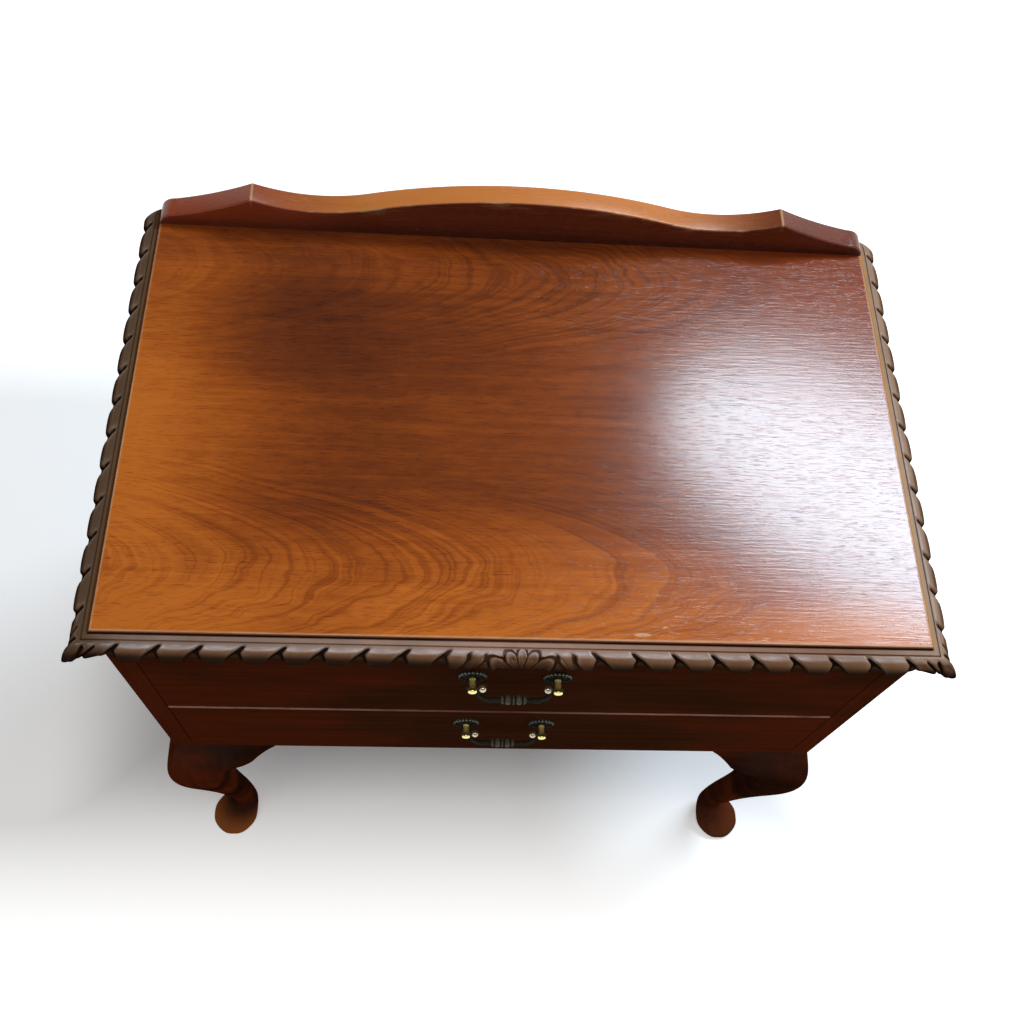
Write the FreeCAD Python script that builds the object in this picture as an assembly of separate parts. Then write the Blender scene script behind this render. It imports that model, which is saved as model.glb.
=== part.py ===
import FreeCAD, Part
import math
import os

# A bedside cabinet: two drawers in a plain case on four cabriole legs, under a veneered top
# with an edge moulding on three sides and a low shaped gallery along the back.
# Frame: X across the width, the front faces -Y, Z up from the floor.
# The origin is on the floor under the middle of the case. Sizes are in millimetres.

# Overall sizes
CASE_WIDTH = 582.0
CASE_DEPTH = 363.0
CASE_HEIGHT = 254.0
LEG_HEIGHT = 334.0

# Top and its moulding
TOP_THICKNESS = 22.0
PANEL_SIDE_OVERHANG = 5.0
PANEL_FRONT_SETBACK = 5.5
TOP_BACK_OVERHANG = 17.0
PANEL_EDGE_EASE = 0.8
MOULDING_PROJECTION = 16.0
MOULDING_STEP = 3.0
MOULDING_BAND = 4.5
QUIRK_WIDTH = 1.0
QUIRK_DEPTH = 1.4
OVOLO_DROP = 0.5
MOULDING_FOOT = 9.5

# Gallery: the cusp and the shoulder are set in from the ends of the top panel
GALLERY_THICKNESS = 19.0
GALLERY_SEAT = 6.0
GALLERY_CREST = 44.0
GALLERY_CREST_RADIUS = 478.0
GALLERY_CREST_HALF = 124.0
GALLERY_CUSP_INSET = 78.0
GALLERY_CUSP_HEIGHT = 33.0
GALLERY_SHOULDER_INSET = 13.0
GALLERY_SHOULDER_HEIGHT = 11.0
GALLERY_SWEEP_HOLLOW = 2.1
GALLERY_END_ROUND = 3.2

# Case boards
SIDE_THICKNESS = 17.0
BACK_PANEL_THICKNESS = 6.0
BACK_REBATE = 8.0
BASE_THICKNESS = 18.0
BASE_LIP = 10.0
BASE_HOUSING = 6.0
RAIL_THICKNESS = 13.5
RAIL_DEPTH = 45.0
RUNNER_WIDTH = 18.0
RUNNER_HEIGHT = 15.0

# Drawers
DRAWER_FRONT_THICKNESS = 18.0
DRAWER_SIDE_THICKNESS = 11.0
DRAWER_BACK_THICKNESS = 10.0
DRAWER_BOTTOM_THICKNESS = 5.0
LOWER_FRONT_HEIGHT = 106.5
FRONT_GAP = 1.5
GAP_BETWEEN_FRONTS = 3.0
DRAWER_SIDE_GAP = 1.0
RUNNER_ABOVE_FRONT_EDGE = 3.0
SLIDE_CLEARANCE = 0.1
STOP_CLEARANCE = 0.2
KICKER_CLEARANCE = 2.5
REAR_CLEARANCE = 12.0
BOTTOM_GROOVE_HEIGHT = 8.0
BOTTOM_GROOVE_DEPTH = 5.0
BACK_HOUSING = 4.0
BACK_INSET = 10.0
BACK_BELOW_SIDE = 6.0
TAIL_LENGTH = 12.0
TAIL_COUNT = 3
TAIL_SHARE = 0.62
TAIL_FLARE = 2.0
FIT_CLEARANCE = 0.1

# Handles
POST_SPACING = 64.0
UPPER_HANDLE_DROP = 27.0
LOWER_HANDLE_DROP = 31.0
ROSETTE_RADIUS = 11.5
ROSETTE_THICKNESS = 2.5
# Rosette from its rim inwards, as shares of its radius and of its thickness
ROSETTE_PROFILE = [(1.0, 0.4), (0.8, 0.7), (0.62, 0.75), (0.5, 1.0)]
ROSETTE_SCALLOPS = 14
ROSETTE_SCALLOP_RADIUS = 1.3
ROSETTE_SCALLOP_OUT = 0.45
POST_PROJECTION = 14.0
POST_HEAD_RADIUS = 4.2
POST_CROWN_RADIUS = 2.6
POST_CROWN_RISE = 0.5
POST_SHOULDER_DROP = 2.0
POST_NECK_RADIUS = 2.8
POST_NECK_SLOPE = 1.2
POST_HEAD_BELOW_PIN = 3.15
POST_COLLAR_RADIUS = 4.4
POST_COLLAR_HEIGHT = 0.8
PIN_HEIGHT = 10.0
PIN_RADIUS = 1.5
PIN_CLEARANCE = 0.08
STUD_RADIUS = 2.0
STUD_CLEARANCE = 0.1
STUD_END = 1.5
WASHER_RADIUS = 4.5
WASHER_THICKNESS = 0.8
NUT_ACROSS_FLATS = 7.0
NUT_THICKNESS = 3.2
BAIL_RADIUS = 2.1
BAIL_BALL_RADIUS = 3.0
BAIL_BALL_GAP = 0.4
BAIL_DROP = 20.0
BAIL_DIP = 2.6
BAIL_CORNER_OUT = 3.2
BAIL_CORNER_DROP = 14.0
BAIL_DIP_SHARE = 0.66
BAIL_CORNER_RADIUS = 6.5
BAIL_DIP_RADIUS = 9.0
BEND_RUN_SHARE = 0.45
KNOP_HALF_LENGTH = 10.0
KNOP_OVER_ARM = 1.0
# Turned knop from its end to its middle, as shares of the bail's radius and of the half length
KNOP_PROFILE = [(0, 1.0), (1.05, 1.0), (1.6, 0.84), (1.25, 0.68), (1.85, 0.42), (1.3, 0.16), (1.75, 0)]

# Legs. The skin of a leg is drawn by rings of control points and passes a little inside them.
LEG_TOP_SIZE = 50.0
LEG_CORNER = 11.0
KNEE_BULGE = 19.0
ANKLE_SIZE = 22.5
ANKLE_INSET = 9.0
FOOT_HEIGHT = 36.0
FOOT_RADIUS = 25.0
FOOT_INSET = 4.5
# Rings from the square top to the ankle: height above the foot as a share of the shaft, sway of
# the outer face from 1 at the knee to -1 at the ankle, size from 1 at the top to 0 at the ankle,
# and corner radius as a share of LEG_CORNER
SHAFT_RINGS = [
    (1.0, 0.0, 1.0, 0.27),
    (0.94, 0.34, 1.27, 0.55),
    (0.852, 0.87, 1.31, 0.82),
    (0.745, 1.0, 0.98, 1.0),
    (0.634, 0.83, 0.74, 1.0),
    (0.517, 0.50, 0.50, 1.0),
    (0.40, 0.19, 0.29, 1.0),
    (0.289, -0.14, 0.17, 1.0),
    (0.188, -0.55, 0.10, 1.0),
    (0.10, -0.84, 0.05, 1.0),
    (0.04, -0.94, 0.03, 1.0),
    (0.0, -0.80, 0.08, 1.0),
]
# Rings of the pad foot: share of the foot's height, lean from the ankle's centre to the pad's,
# and share of the pad's radius
FOOT_RINGS = [(0.78, 0.20, 0.65), (0.56, 0.50, 0.82), (0.31, 0.76, 0.94), (0.11, 0.95, 1.0), (0.0, 1.0, 0.89)]
# Two places on a ring beside its corner, set back by these shares of the corner radius, that
# make the ring's curve pass through the circle at 45 degrees
RING_SIDE_SETBACK = 0.65
RING_CORNER_SETBACK = 0.277
SKIN_DEGREE = 3

# Knee blocks
EAR_LENGTH = 39.0
EAR_DROP = 40.0
EAR_TIP = 2.0
EAR_THICKNESS = 24.0
EAR_ROOT_SWELL = 15.0
EAR_TIP_SWELL = 1.0
EAR_BOW_SHARE = 0.58
EAR_HOLLOW = 0.8
EAR_LOBE_LENGTH = 15.0
EAR_LOBE_RISE = 6.0
EAR_LOBE = 1.6
GLUE_LINE = 0.15

# Fixings
DOWEL_RADIUS = 5.0
DOWEL_CLEARANCE = 0.05
DOWEL_END_GAP = 1.0
LEG_DOWEL_SHARE = 0.76
LEG_DOWEL_BEHIND_FRONT = 6.0
LEG_DOWEL_IN_BASE = 13.0
LEG_DOWEL_IN_LEG = 25.0
RAIL_DOWEL_RADIUS = 4.0
RAIL_DOWEL_PITCH = 22.5
RAIL_DOWEL_IN_SIDE = 11.0
RAIL_DOWEL_IN_RAIL = 18.0
SCREW_RADIUS = 2.0
SCREW_HEAD_RADIUS = 4.0
SCREW_HEAD_HEIGHT = 2.4
SCREW_HEAD_CROWN = 0.6
SCREW_TIP = 4.0
SCREW_CLEARANCE = 0.1
SCREW_HEAD_CLEARANCE = 0.4
SCREW_COUNTERBORE = 4.0
SCREW_BITE = 12.0
TOP_SCREW_INSET = 77.0
GALLERY_SCREW_INSET = 89.0
RUNNER_SCREW_INSET = 34.0
RUNNER_SCREW_BITE = 10.0
BOTTOM_SCREW_SHARE = 0.7
BOTTOM_SCREW_INSET = 65.0
PANEL_PIN_RADIUS = 0.9
PANEL_PIN_HEAD_RADIUS = 2.0
PANEL_PIN_HEAD = 0.6
PANEL_PIN_BITE = 9.0
PANEL_PIN_END_INSET = 20.0
PANEL_PIN_FOOT_INSET = 82.0

# How far a cutting shape runs past the stock that it cuts
CUT_PAST = 1.0
SAME_PLACE = 0.01

# Places worked out from the sizes above
half_width = CASE_WIDTH / 2
half_depth = CASE_DEPTH / 2
case_bottom = LEG_HEIGHT
case_top = LEG_HEIGHT + CASE_HEIGHT
top_z = case_top + TOP_THICKNESS
inner_half = half_width - SIDE_THICKNESS
panel_half = half_width + PANEL_SIDE_OVERHANG
panel_front = -half_depth + PANEL_FRONT_SETBACK
top_back = half_depth + TOP_BACK_OVERHANG
gallery_front = top_back - GALLERY_THICKNESS
back_inner = half_depth - BACK_PANEL_THICKNESS
rail_bottom = case_top - RAIL_THICKNESS
rail_rows = [-half_depth + RAIL_DEPTH / 2, back_inner - RAIL_DEPTH / 2]
front_back_face = -half_depth + DRAWER_FRONT_THICKNESS
base_top = case_bottom + BASE_THICKNESS
lower_front_bottom = case_bottom + BASE_LIP + FRONT_GAP
lower_front_top = lower_front_bottom + LOWER_FRONT_HEIGHT
upper_front_bottom = lower_front_top + GAP_BETWEEN_FRONTS
upper_front_top = rail_bottom - FRONT_GAP
runner_top = upper_front_bottom + RUNNER_ABOVE_FRONT_EDGE
runner_bottom = runner_top - RUNNER_HEIGHT
drawer_half = inner_half - DRAWER_SIDE_GAP
drawer_inner = drawer_half - DRAWER_SIDE_THICKNESS
drawer_rear = back_inner - REAR_CLEARANCE

V = FreeCAD.Vector
X_AXIS = V(1, 0, 0)
Y_AXIS = V(0, 1, 0)
Z_AXIS = V(0, 0, 1)


def box(x0, x1, y0, y1, z0, z1):
    """Block between two corners."""
    return Part.makeBox(x1 - x0, y1 - y0, z1 - z0, V(x0, y0, z0))


def cylinder(radius, start, end):
    """Round bar between two points."""
    run = end - start
    return Part.makeCylinder(radius, run.Length, start, run)


def prism(points, run):
    """Straight-sided outline pushed along a vector."""
    wire = Part.makePolygon(points + [points[0]])
    return Part.Face(wire).extrude(run)


def line(a, b):
    return Part.LineSegment(a, b).toShape()


def arc(a, middle, b):
    return Part.Arc(a, middle, b).toShape()


def bowed(a, b, rise):
    """Arc from a to b, its middle standing off the chord towards rise by rise's length."""
    return arc(a, (a + b) * 0.5 + rise, b)


def face_of(edges):
    """Flat face bounded by edges given in order."""
    return Part.Face(Part.Wire(edges))


def turned(profile, origin, axis):
    """Turn a list of (radius, distance along the axis) about an axis through origin."""
    side = X_AXIS if abs(axis.dot(X_AXIS)) < 0.5 else Z_AXIS
    points = [origin + side * r + axis * t for r, t in profile]
    wire = Part.makePolygon(points + [points[0]])
    return Part.Face(wire).revolve(origin, axis, 360)


def one_solid(shape):
    """The single solid of a boolean result, with split faces joined."""
    solids = shape.removeSplitter().Solids
    if len(solids) != 1:
        raise ValueError("expected one solid, found %d" % len(solids))
    return solids[0]


def cut_all(shape, tools):
    return one_solid(shape.cut(Part.makeCompound(tools)))


def mirrored_x(shape):
    return shape.mirror(V(0, 0, 0), X_AXIS)


def mirrored_y(shape):
    return shape.mirror(V(0, 0, 0), Y_AXIS)


def spread(count, reach):
    """Evenly spaced places from -reach to reach."""
    return [-reach + 2 * reach * i / (count - 1) for i in range(count)]


class Screw:
    """Round-headed wood screw: seat is the point under its head, run the way it points."""

    def __init__(self, seat, run, length, scale=1.0):
        self.seat = seat
        self.run = run
        self.length = length
        self.radius = SCREW_RADIUS * scale
        self.head = SCREW_HEAD_RADIUS * scale
        self.head_height = SCREW_HEAD_HEIGHT * scale
        self.tip = SCREW_TIP * scale

    def solid(self):
        crown = SCREW_HEAD_CROWN
        profile = [
            (0, -self.head_height),
            (self.head * crown, -self.head_height),
            (self.head, -self.head_height * (1 - crown)),
            (self.head, 0),
            (self.radius, 0),
            (self.radius, self.length - self.tip),
            (0, self.length),
        ]
        return turned(profile, self.seat, self.run)

    def hole(self, counterbore=0.0):
        """Clearance hole, with a flat-bottomed recess for the head where one is asked for."""
        end = self.seat + self.run * (self.length + FIT_CLEARANCE)
        tools = [cylinder(self.radius + SCREW_CLEARANCE, self.seat, end)]
        if counterbore:
            wide = self.head + SCREW_HEAD_CLEARANCE
            tools.append(cylinder(wide, self.seat - self.run * counterbore, self.seat))
        return tools


def holes(screws, counterbore=0.0):
    """The cutting shapes of several screws."""
    return [tool for screw in screws for tool in screw.hole(counterbore)]


def solids(screws):
    return Part.makeCompound([screw.solid() for screw in screws])


# Top

def top_screws():
    """Three screws up through each top rail into the top panel."""
    length = RAIL_THICKNESS - SCREW_COUNTERBORE + SCREW_BITE
    z = rail_bottom + SCREW_COUNTERBORE
    columns = spread(3, inner_half - TOP_SCREW_INSET)
    return [Screw(V(x, y, z), Z_AXIS, length) for y in rail_rows for x in columns]


def gallery_screws():
    """Four screws up through the back of the top panel into the gallery."""
    length = TOP_THICKNESS - GALLERY_SEAT - SCREW_COUNTERBORE + SCREW_BITE
    y = (gallery_front + top_back) / 2
    z = case_top + SCREW_COUNTERBORE
    return [Screw(V(x, y, z), Z_AXIS, length) for x in spread(4, panel_half - GALLERY_SCREW_INSET)]


def top_panel():
    """Veneered board with eased edges and a rebate along the back for the gallery."""
    board = box(-panel_half, panel_half, panel_front, top_back, case_top, top_z)
    upper = [edge for edge in board.Edges if edge.BoundBox.ZMin > top_z - SAME_PLACE]
    rims = [edge for edge in upper if edge.BoundBox.YMin < gallery_front]
    board = board.makeChamfer(PANEL_EDGE_EASE, rims)
    seat = box(-panel_half, panel_half, gallery_front, top_back, top_z - GALLERY_SEAT, top_z)
    return cut_all(board, [seat] + holes(top_screws()) + holes(gallery_screws(), SCREW_COUNTERBORE))


def moulding_section(origin, out):
    """Edge moulding in section: flat band, thin quirk, then a swelling ovolo.

    origin is on the panel's edge at the top surface and out points away from the panel.
    """
    def at(u, z):
        return origin + out * u + Z_AXIS * z

    bottom = -TOP_THICKNESS
    ovolo_start = MOULDING_BAND + QUIRK_WIDTH
    belly = (bottom - MOULDING_STEP) / 2
    corners = [
        at(0, bottom),
        at(0, -MOULDING_STEP),
        at(MOULDING_BAND, -MOULDING_STEP),
        at(MOULDING_BAND, -MOULDING_STEP - QUIRK_DEPTH),
        at(ovolo_start, -MOULDING_STEP - QUIRK_DEPTH),
        at(ovolo_start, -MOULDING_STEP - OVOLO_DROP),
    ]
    foot = at(MOULDING_FOOT, bottom)
    edges = [line(a, b) for a, b in zip(corners, corners[1:])]
    edges.append(arc(corners[-1], at(MOULDING_PROJECTION, belly), foot))
    edges.append(line(foot, corners[0]))
    return face_of(edges)


def front_moulding():
    """Front moulding with both ends mitred."""
    reach = panel_half + MOULDING_PROJECTION
    mitre = MOULDING_PROJECTION + CUT_PAST
    bar = moulding_section(V(-reach, panel_front, top_z), -Y_AXIS).extrude(V(2 * reach, 0, 0))
    plan = [
        V(-panel_half, panel_front, case_top),
        V(panel_half, panel_front, case_top),
        V(panel_half + mitre, panel_front - mitre, case_top),
        V(-panel_half - mitre, panel_front - mitre, case_top),
    ]
    return one_solid(bar.common(prism(plan, V(0, 0, TOP_THICKNESS))))


def right_moulding():
    """Side moulding, mitred in front and square behind."""
    mitre = MOULDING_PROJECTION + CUT_PAST
    start = panel_front - MOULDING_PROJECTION
    bar = moulding_section(V(panel_half, start, top_z), X_AXIS).extrude(V(0, top_back - start, 0))
    plan = [
        V(panel_half, panel_front, case_top),
        V(panel_half, top_back, case_top),
        V(panel_half + mitre, top_back, case_top),
        V(panel_half + mitre, panel_front - mitre, case_top),
    ]
    return one_solid(bar.common(prism(plan, V(0, 0, TOP_THICKNESS))))


def tangent_arc(start, heading, end):
    """Arc that leaves start along heading and ends at end."""
    chord = end - start
    half_turn = heading.getAngle(chord)
    unit = V(chord).normalize()
    rise = chord.Length / 2 * math.tan(half_turn / 2)
    across = heading - unit * heading.dot(unit)
    return bowed(start, end, across.normalize() * rise)


def crest_point(share):
    """(x, height above the top) on the gallery's crest arc, share of the way to its end."""
    slope = share * math.asin(GALLERY_CREST_HALF / GALLERY_CREST_RADIUS)
    drop = GALLERY_CREST_RADIUS * (1 - math.cos(slope))
    return GALLERY_CREST_RADIUS * math.sin(slope), GALLERY_CREST - drop


def back_gallery():
    """Low back board: convex crest, hollow either side, a sharp cusp and a sweep to rounded ends."""
    def at(x, z):
        return V(x, gallery_front, top_z + z)

    crest = [at(*crest_point(share)) for share in (0, 0.5, 1)]
    slope = math.asin(GALLERY_CREST_HALF / GALLERY_CREST_RADIUS)
    cusp = at(panel_half - GALLERY_CUSP_INSET, GALLERY_CUSP_HEIGHT)
    shoulder = at(panel_half - GALLERY_SHOULDER_INSET, GALLERY_SHOULDER_HEIGHT)
    end = at(panel_half, 0)
    heel = at(panel_half, -GALLERY_SEAT)
    outward = V(1, 0, 1).normalize()
    half = [
        arc(*crest),
        tangent_arc(crest[-1], V(math.cos(slope), 0, -math.sin(slope)), cusp),
        bowed(cusp, shoulder, -Z_AXIS * GALLERY_SWEEP_HOLLOW),
        bowed(shoulder, end, outward * GALLERY_END_ROUND),
        line(end, heel),
    ]
    foot = line(heel, V(-heel.x, heel.y, heel.z))
    outline = Part.Wire(Part.__sortEdges__(half + [foot] + [mirrored_x(edge) for edge in half]))
    board = Part.Face(outline).extrude(V(0, GALLERY_THICKNESS, 0))
    return cut_all(board, holes(gallery_screws()))


# Case

def rail_dowels():
    """Two dowels in each end of both top rails, as (start, end) points."""
    z = rail_bottom + RAIL_THICKNESS / 2
    spans = []
    for side in (-1, 1):
        for row in rail_rows:
            for y in (row - RAIL_DOWEL_PITCH / 2, row + RAIL_DOWEL_PITCH / 2):
                start = V(side * (inner_half - RAIL_DOWEL_IN_RAIL), y, z)
                end = V(side * (inner_half + RAIL_DOWEL_IN_SIDE), y, z)
                spans.append((start, end))
    return spans


def rail_dowel_holes():
    return [cylinder(RAIL_DOWEL_RADIUS + DOWEL_CLEARANCE, a, b) for a, b in rail_dowels()]


def runner_screws():
    """Three screws through each runner into its side panel."""
    z = (runner_top + runner_bottom) / 2
    seat = inner_half - RUNNER_WIDTH + SCREW_COUNTERBORE
    length = RUNNER_WIDTH - SCREW_COUNTERBORE + RUNNER_SCREW_BITE
    middle = (front_back_face + back_inner) / 2
    reach = (back_inner - front_back_face) / 2 - RUNNER_SCREW_INSET
    return [
        Screw(V(side * seat, middle + y, z), X_AXIS * side, length)
        for side in (-1, 1) for y in spread(3, reach)
    ]


def back_pins():
    """Places of the pins down both edges of the back panel and along its foot."""
    edge_x = inner_half + BACK_REBATE / 2
    middle = (case_bottom + case_top) / 2
    heights = spread(4, CASE_HEIGHT / 2 - PANEL_PIN_END_INSET)
    places = [(side * edge_x, middle + z) for side in (-1, 1) for z in heights]
    foot_z = case_bottom + BASE_THICKNESS / 2
    places += [(x, foot_z) for x in spread(3, inner_half - PANEL_PIN_FOOT_INSET)]
    return [V(x, half_depth, z) for x, z in places]


def back_pin_solids():
    length = BACK_PANEL_THICKNESS + PANEL_PIN_BITE
    profile = [
        (0, -PANEL_PIN_HEAD),
        (PANEL_PIN_HEAD_RADIUS, -PANEL_PIN_HEAD / 2),
        (PANEL_PIN_HEAD_RADIUS, 0),
        (PANEL_PIN_RADIUS, 0),
        (PANEL_PIN_RADIUS, length - PANEL_PIN_HEAD_RADIUS),
        (0, length),
    ]
    return Part.makeCompound([turned(profile, place, -Y_AXIS) for place in back_pins()])


def back_pin_holes():
    depth = BACK_PANEL_THICKNESS + PANEL_PIN_BITE + FIT_CLEARANCE
    return [cylinder(PANEL_PIN_RADIUS + DOWEL_CLEARANCE, p, p - Y_AXIS * depth) for p in back_pins()]


def right_side_panel():
    """Side board: rebate for the back panel, stopped rebate for the base, holes for its fixings."""
    board = box(inner_half, half_width, -half_depth, half_depth, case_bottom, case_top)
    rear = box(inner_half, inner_half + BACK_REBATE, back_inner, half_depth, case_bottom, case_top)
    housing = box(inner_half, inner_half + BASE_HOUSING, front_back_face, back_inner, case_bottom, base_top)
    return cut_all(board, [rear, housing] + rail_dowel_holes() + back_pin_holes() + holes(runner_screws()))


def back_panel():
    reach = inner_half + BACK_REBATE
    board = box(-reach, reach, back_inner, half_depth, case_bottom, case_top)
    return cut_all(board, back_pin_holes())


def base_board():
    """Base housed in the sides, with a thinner lip under the lower drawer's front."""
    reach = inner_half + BASE_HOUSING
    board = box(-reach, reach, front_back_face, back_inner, case_bottom, base_top)
    lip = box(-inner_half, inner_half, -half_depth, front_back_face, case_bottom, case_bottom + BASE_LIP)
    return cut_all(board.fuse(lip), leg_dowel_holes() + back_pin_holes())


def top_rail(row):
    y0 = row - RAIL_DEPTH / 2
    board = box(-inner_half, inner_half, y0, y0 + RAIL_DEPTH, rail_bottom, case_top)
    return cut_all(board, rail_dowel_holes() + holes(top_screws(), SCREW_COUNTERBORE))


def right_kicker():
    """Strip between the top rails that keeps the upper drawer level as it opens."""
    y0 = -half_depth + RAIL_DEPTH
    y1 = back_inner - RAIL_DEPTH
    return box(inner_half - RUNNER_WIDTH, inner_half, y0, y1, rail_bottom, case_top)


def right_runner():
    """Strip that carries the upper drawer; its front end stops both drawers."""
    y0 = front_back_face + STOP_CLEARANCE
    strip = box(inner_half - RUNNER_WIDTH, inner_half, y0, back_inner, runner_bottom, runner_top)
    return cut_all(strip, holes(runner_screws(), SCREW_COUNTERBORE))


# Stand: modelled at the case's back right corner and mirrored to the others.
# There u and v are distances outwards from the case's side and back faces.

def control_ring(outer, inner, radius, z):
    """Sixteen control points of a closed curve: a square from inner to outer with round corners."""
    c = (outer + inner) / 2
    h = (outer - inner) / 2
    beside = h - RING_SIDE_SETBACK * radius
    corner = h - RING_CORNER_SETBACK * radius
    quarter = [V(h, 0, 0), V(h, beside, 0), V(corner, corner, 0), V(beside, h, 0)]
    turns = [FreeCAD.Rotation(Z_AXIS, 90 * turn) for turn in range(4)]
    return [turn.multVec(point) + V(c, c, z) for turn in turns for point in quarter]


def leg_rings():
    """Control rings of a leg from its square top down the shaft and round the pad foot."""
    shaft = LEG_HEIGHT - FOOT_HEIGHT
    rings = []
    for height, sway, size, corner in SHAFT_RINGS:
        outer = sway * (KNEE_BULGE if sway > 0 else ANKLE_INSET)
        inner = outer - ANKLE_SIZE - size * (LEG_TOP_SIZE - ANKLE_SIZE)
        rings.append(control_ring(outer, inner, corner * LEG_CORNER, FOOT_HEIGHT + height * shaft))
    ankle = -ANKLE_INSET - ANKLE_SIZE / 2
    for height, lean, size in FOOT_RINGS:
        centre = ankle + lean * (-FOOT_INSET - ankle)
        radius = size * FOOT_RADIUS
        rings.append(control_ring(centre + radius, centre - radius, radius, height * FOOT_HEIGHT))
    return rings


def bare_leg():
    """Cabriole leg: one smooth skin over its control rings, closed by a flat top and sole."""
    rings = leg_rings()
    around = len(rings[0])
    spans = len(rings) - SKIN_DEGREE
    poles = [[ring[i] for ring in rings] for i in range(around)]
    end_mult = SKIN_DEGREE + 1
    skin = Part.BSplineSurface()
    skin.buildFromPolesMultsKnots(
        poles,
        [1] * (around + 1), [end_mult] + [1] * (spans - 1) + [end_mult],
        list(range(around + 1)), list(range(spans + 1)),
        True, False, SKIN_DEGREE, SKIN_DEGREE,
    )
    side = skin.toShape()
    rims = [edge for edge in side.Edges if edge.isClosed() and edge.BoundBox.ZLength < SAME_PLACE]
    shell = Part.makeShell([side] + [Part.Face(Part.Wire(rim)) for rim in rims])
    shell.sewShape()
    solid = Part.makeSolid(shell)
    if solid.Volume < 0:
        solid.reverse()
    return solid


def ear(leg):
    """Knee block on the leg's v face: bulged like the knee at the leg, flat at its tip."""
    foot_z = LEG_HEIGHT - EAR_DROP
    low_z = foot_z - EAR_TIP
    root = -LEG_TOP_SIZE + EAR_THICKNESS / 2
    joint = -LEG_TOP_SIZE
    tip = joint - EAR_LENGTH

    def section(u, swell):
        top = V(u, 0, LEG_HEIGHT)
        low = V(u, swell, low_z)
        low_back = V(u, -EAR_THICKNESS, low_z)
        top_back_corner = V(u, -EAR_THICKNESS, LEG_HEIGHT)
        belly = V(u, swell * EAR_BOW_SHARE, (LEG_HEIGHT + low_z) / 2)
        return Part.Wire([
            arc(top, belly, low),
            line(low, low_back),
            line(low_back, top_back_corner),
            line(top_back_corner, top),
        ])

    def at(u, z):
        return V(u, -EAR_THICKNESS - CUT_PAST, z)

    body = Part.makeLoft([section(root, EAR_ROOT_SWELL), section(tip, EAR_TIP_SWELL)], True, True)
    tip_low = at(tip, LEG_HEIGHT - EAR_TIP)
    lobe = at(joint - EAR_LOBE_LENGTH, foot_z + EAR_LOBE_RISE)
    bottom = at(joint, foot_z)
    outline = face_of([
        line(at(root, foot_z), at(root, LEG_HEIGHT)),
        line(at(root, LEG_HEIGHT), at(tip, LEG_HEIGHT)),
        line(at(tip, LEG_HEIGHT), tip_low),
        bowed(tip_low, lobe, Z_AXIS * EAR_HOLLOW),
        bowed(lobe, bottom, -Z_AXIS * EAR_LOBE),
        line(bottom, at(root, foot_z)),
    ])
    pattern = outline.extrude(Y_AXIS * (EAR_THICKNESS + EAR_ROOT_SWELL + 2 * CUT_PAST))
    block = one_solid(body.common(pattern).cut(leg))
    block.translate(V(-GLUE_LINE, 0, 0))
    return block


def leg_dowels():
    """Two dowels on the diagonal of a leg's square top, as (start, end) points.

    One is well in from the leg's outer corner, the other just behind the drawer front, where the
    base has its full thickness.
    """
    low = LEG_HEIGHT - LEG_DOWEL_IN_LEG
    high = LEG_HEIGHT + LEG_DOWEL_IN_BASE
    places = [-LEG_TOP_SIZE * LEG_DOWEL_SHARE, -DRAWER_FRONT_THICKNESS - LEG_DOWEL_BEHIND_FRONT]
    return [(V(p, p, low), V(p, p, high)) for p in places]


def at_corners(shape):
    """A shape from the corner's own frame, at the four corners of the case."""
    placed = shape.copy()
    placed.translate(V(half_width, half_depth, 0))
    return {
        "back_right": placed,
        "back_left": mirrored_x(placed),
        "front_right": mirrored_y(placed),
        "front_left": mirrored_y(mirrored_x(placed)),
    }


def leg_dowel_bores():
    """Bores for the leg dowels in the corner's own frame, a little longer than the dowels."""
    wide = DOWEL_RADIUS + DOWEL_CLEARANCE
    gap = Z_AXIS * DOWEL_END_GAP
    return [cylinder(wide, a - gap, b + gap) for a, b in leg_dowels()]


def leg_dowel_holes():
    return [placed for bore in leg_dowel_bores() for placed in at_corners(bore).values()]


def stand():
    """Legs, knee blocks and leg dowels by name."""
    whole = bare_leg()
    front_ear = ear(whole)
    side_ear = front_ear.mirror(V(0, 0, 0), V(1, -1, 0))
    nodes = {}
    for corner, shape in at_corners(cut_all(whole, leg_dowel_bores())).items():
        nodes["leg_" + corner] = shape
    for corner, shape in at_corners(front_ear).items():
        if corner.startswith("front"):
            nodes["knee_block_" + corner] = shape
    for corner, shape in at_corners(side_ear).items():
        nodes["knee_block_side_" + corner] = shape
    dowels = [cylinder(DOWEL_RADIUS, a, b) for a, b in leg_dowels()]
    nodes["leg_dowels"] = Part.makeCompound([p for d in dowels for p in at_corners(d).values()])
    return nodes


# Drawers

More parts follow.
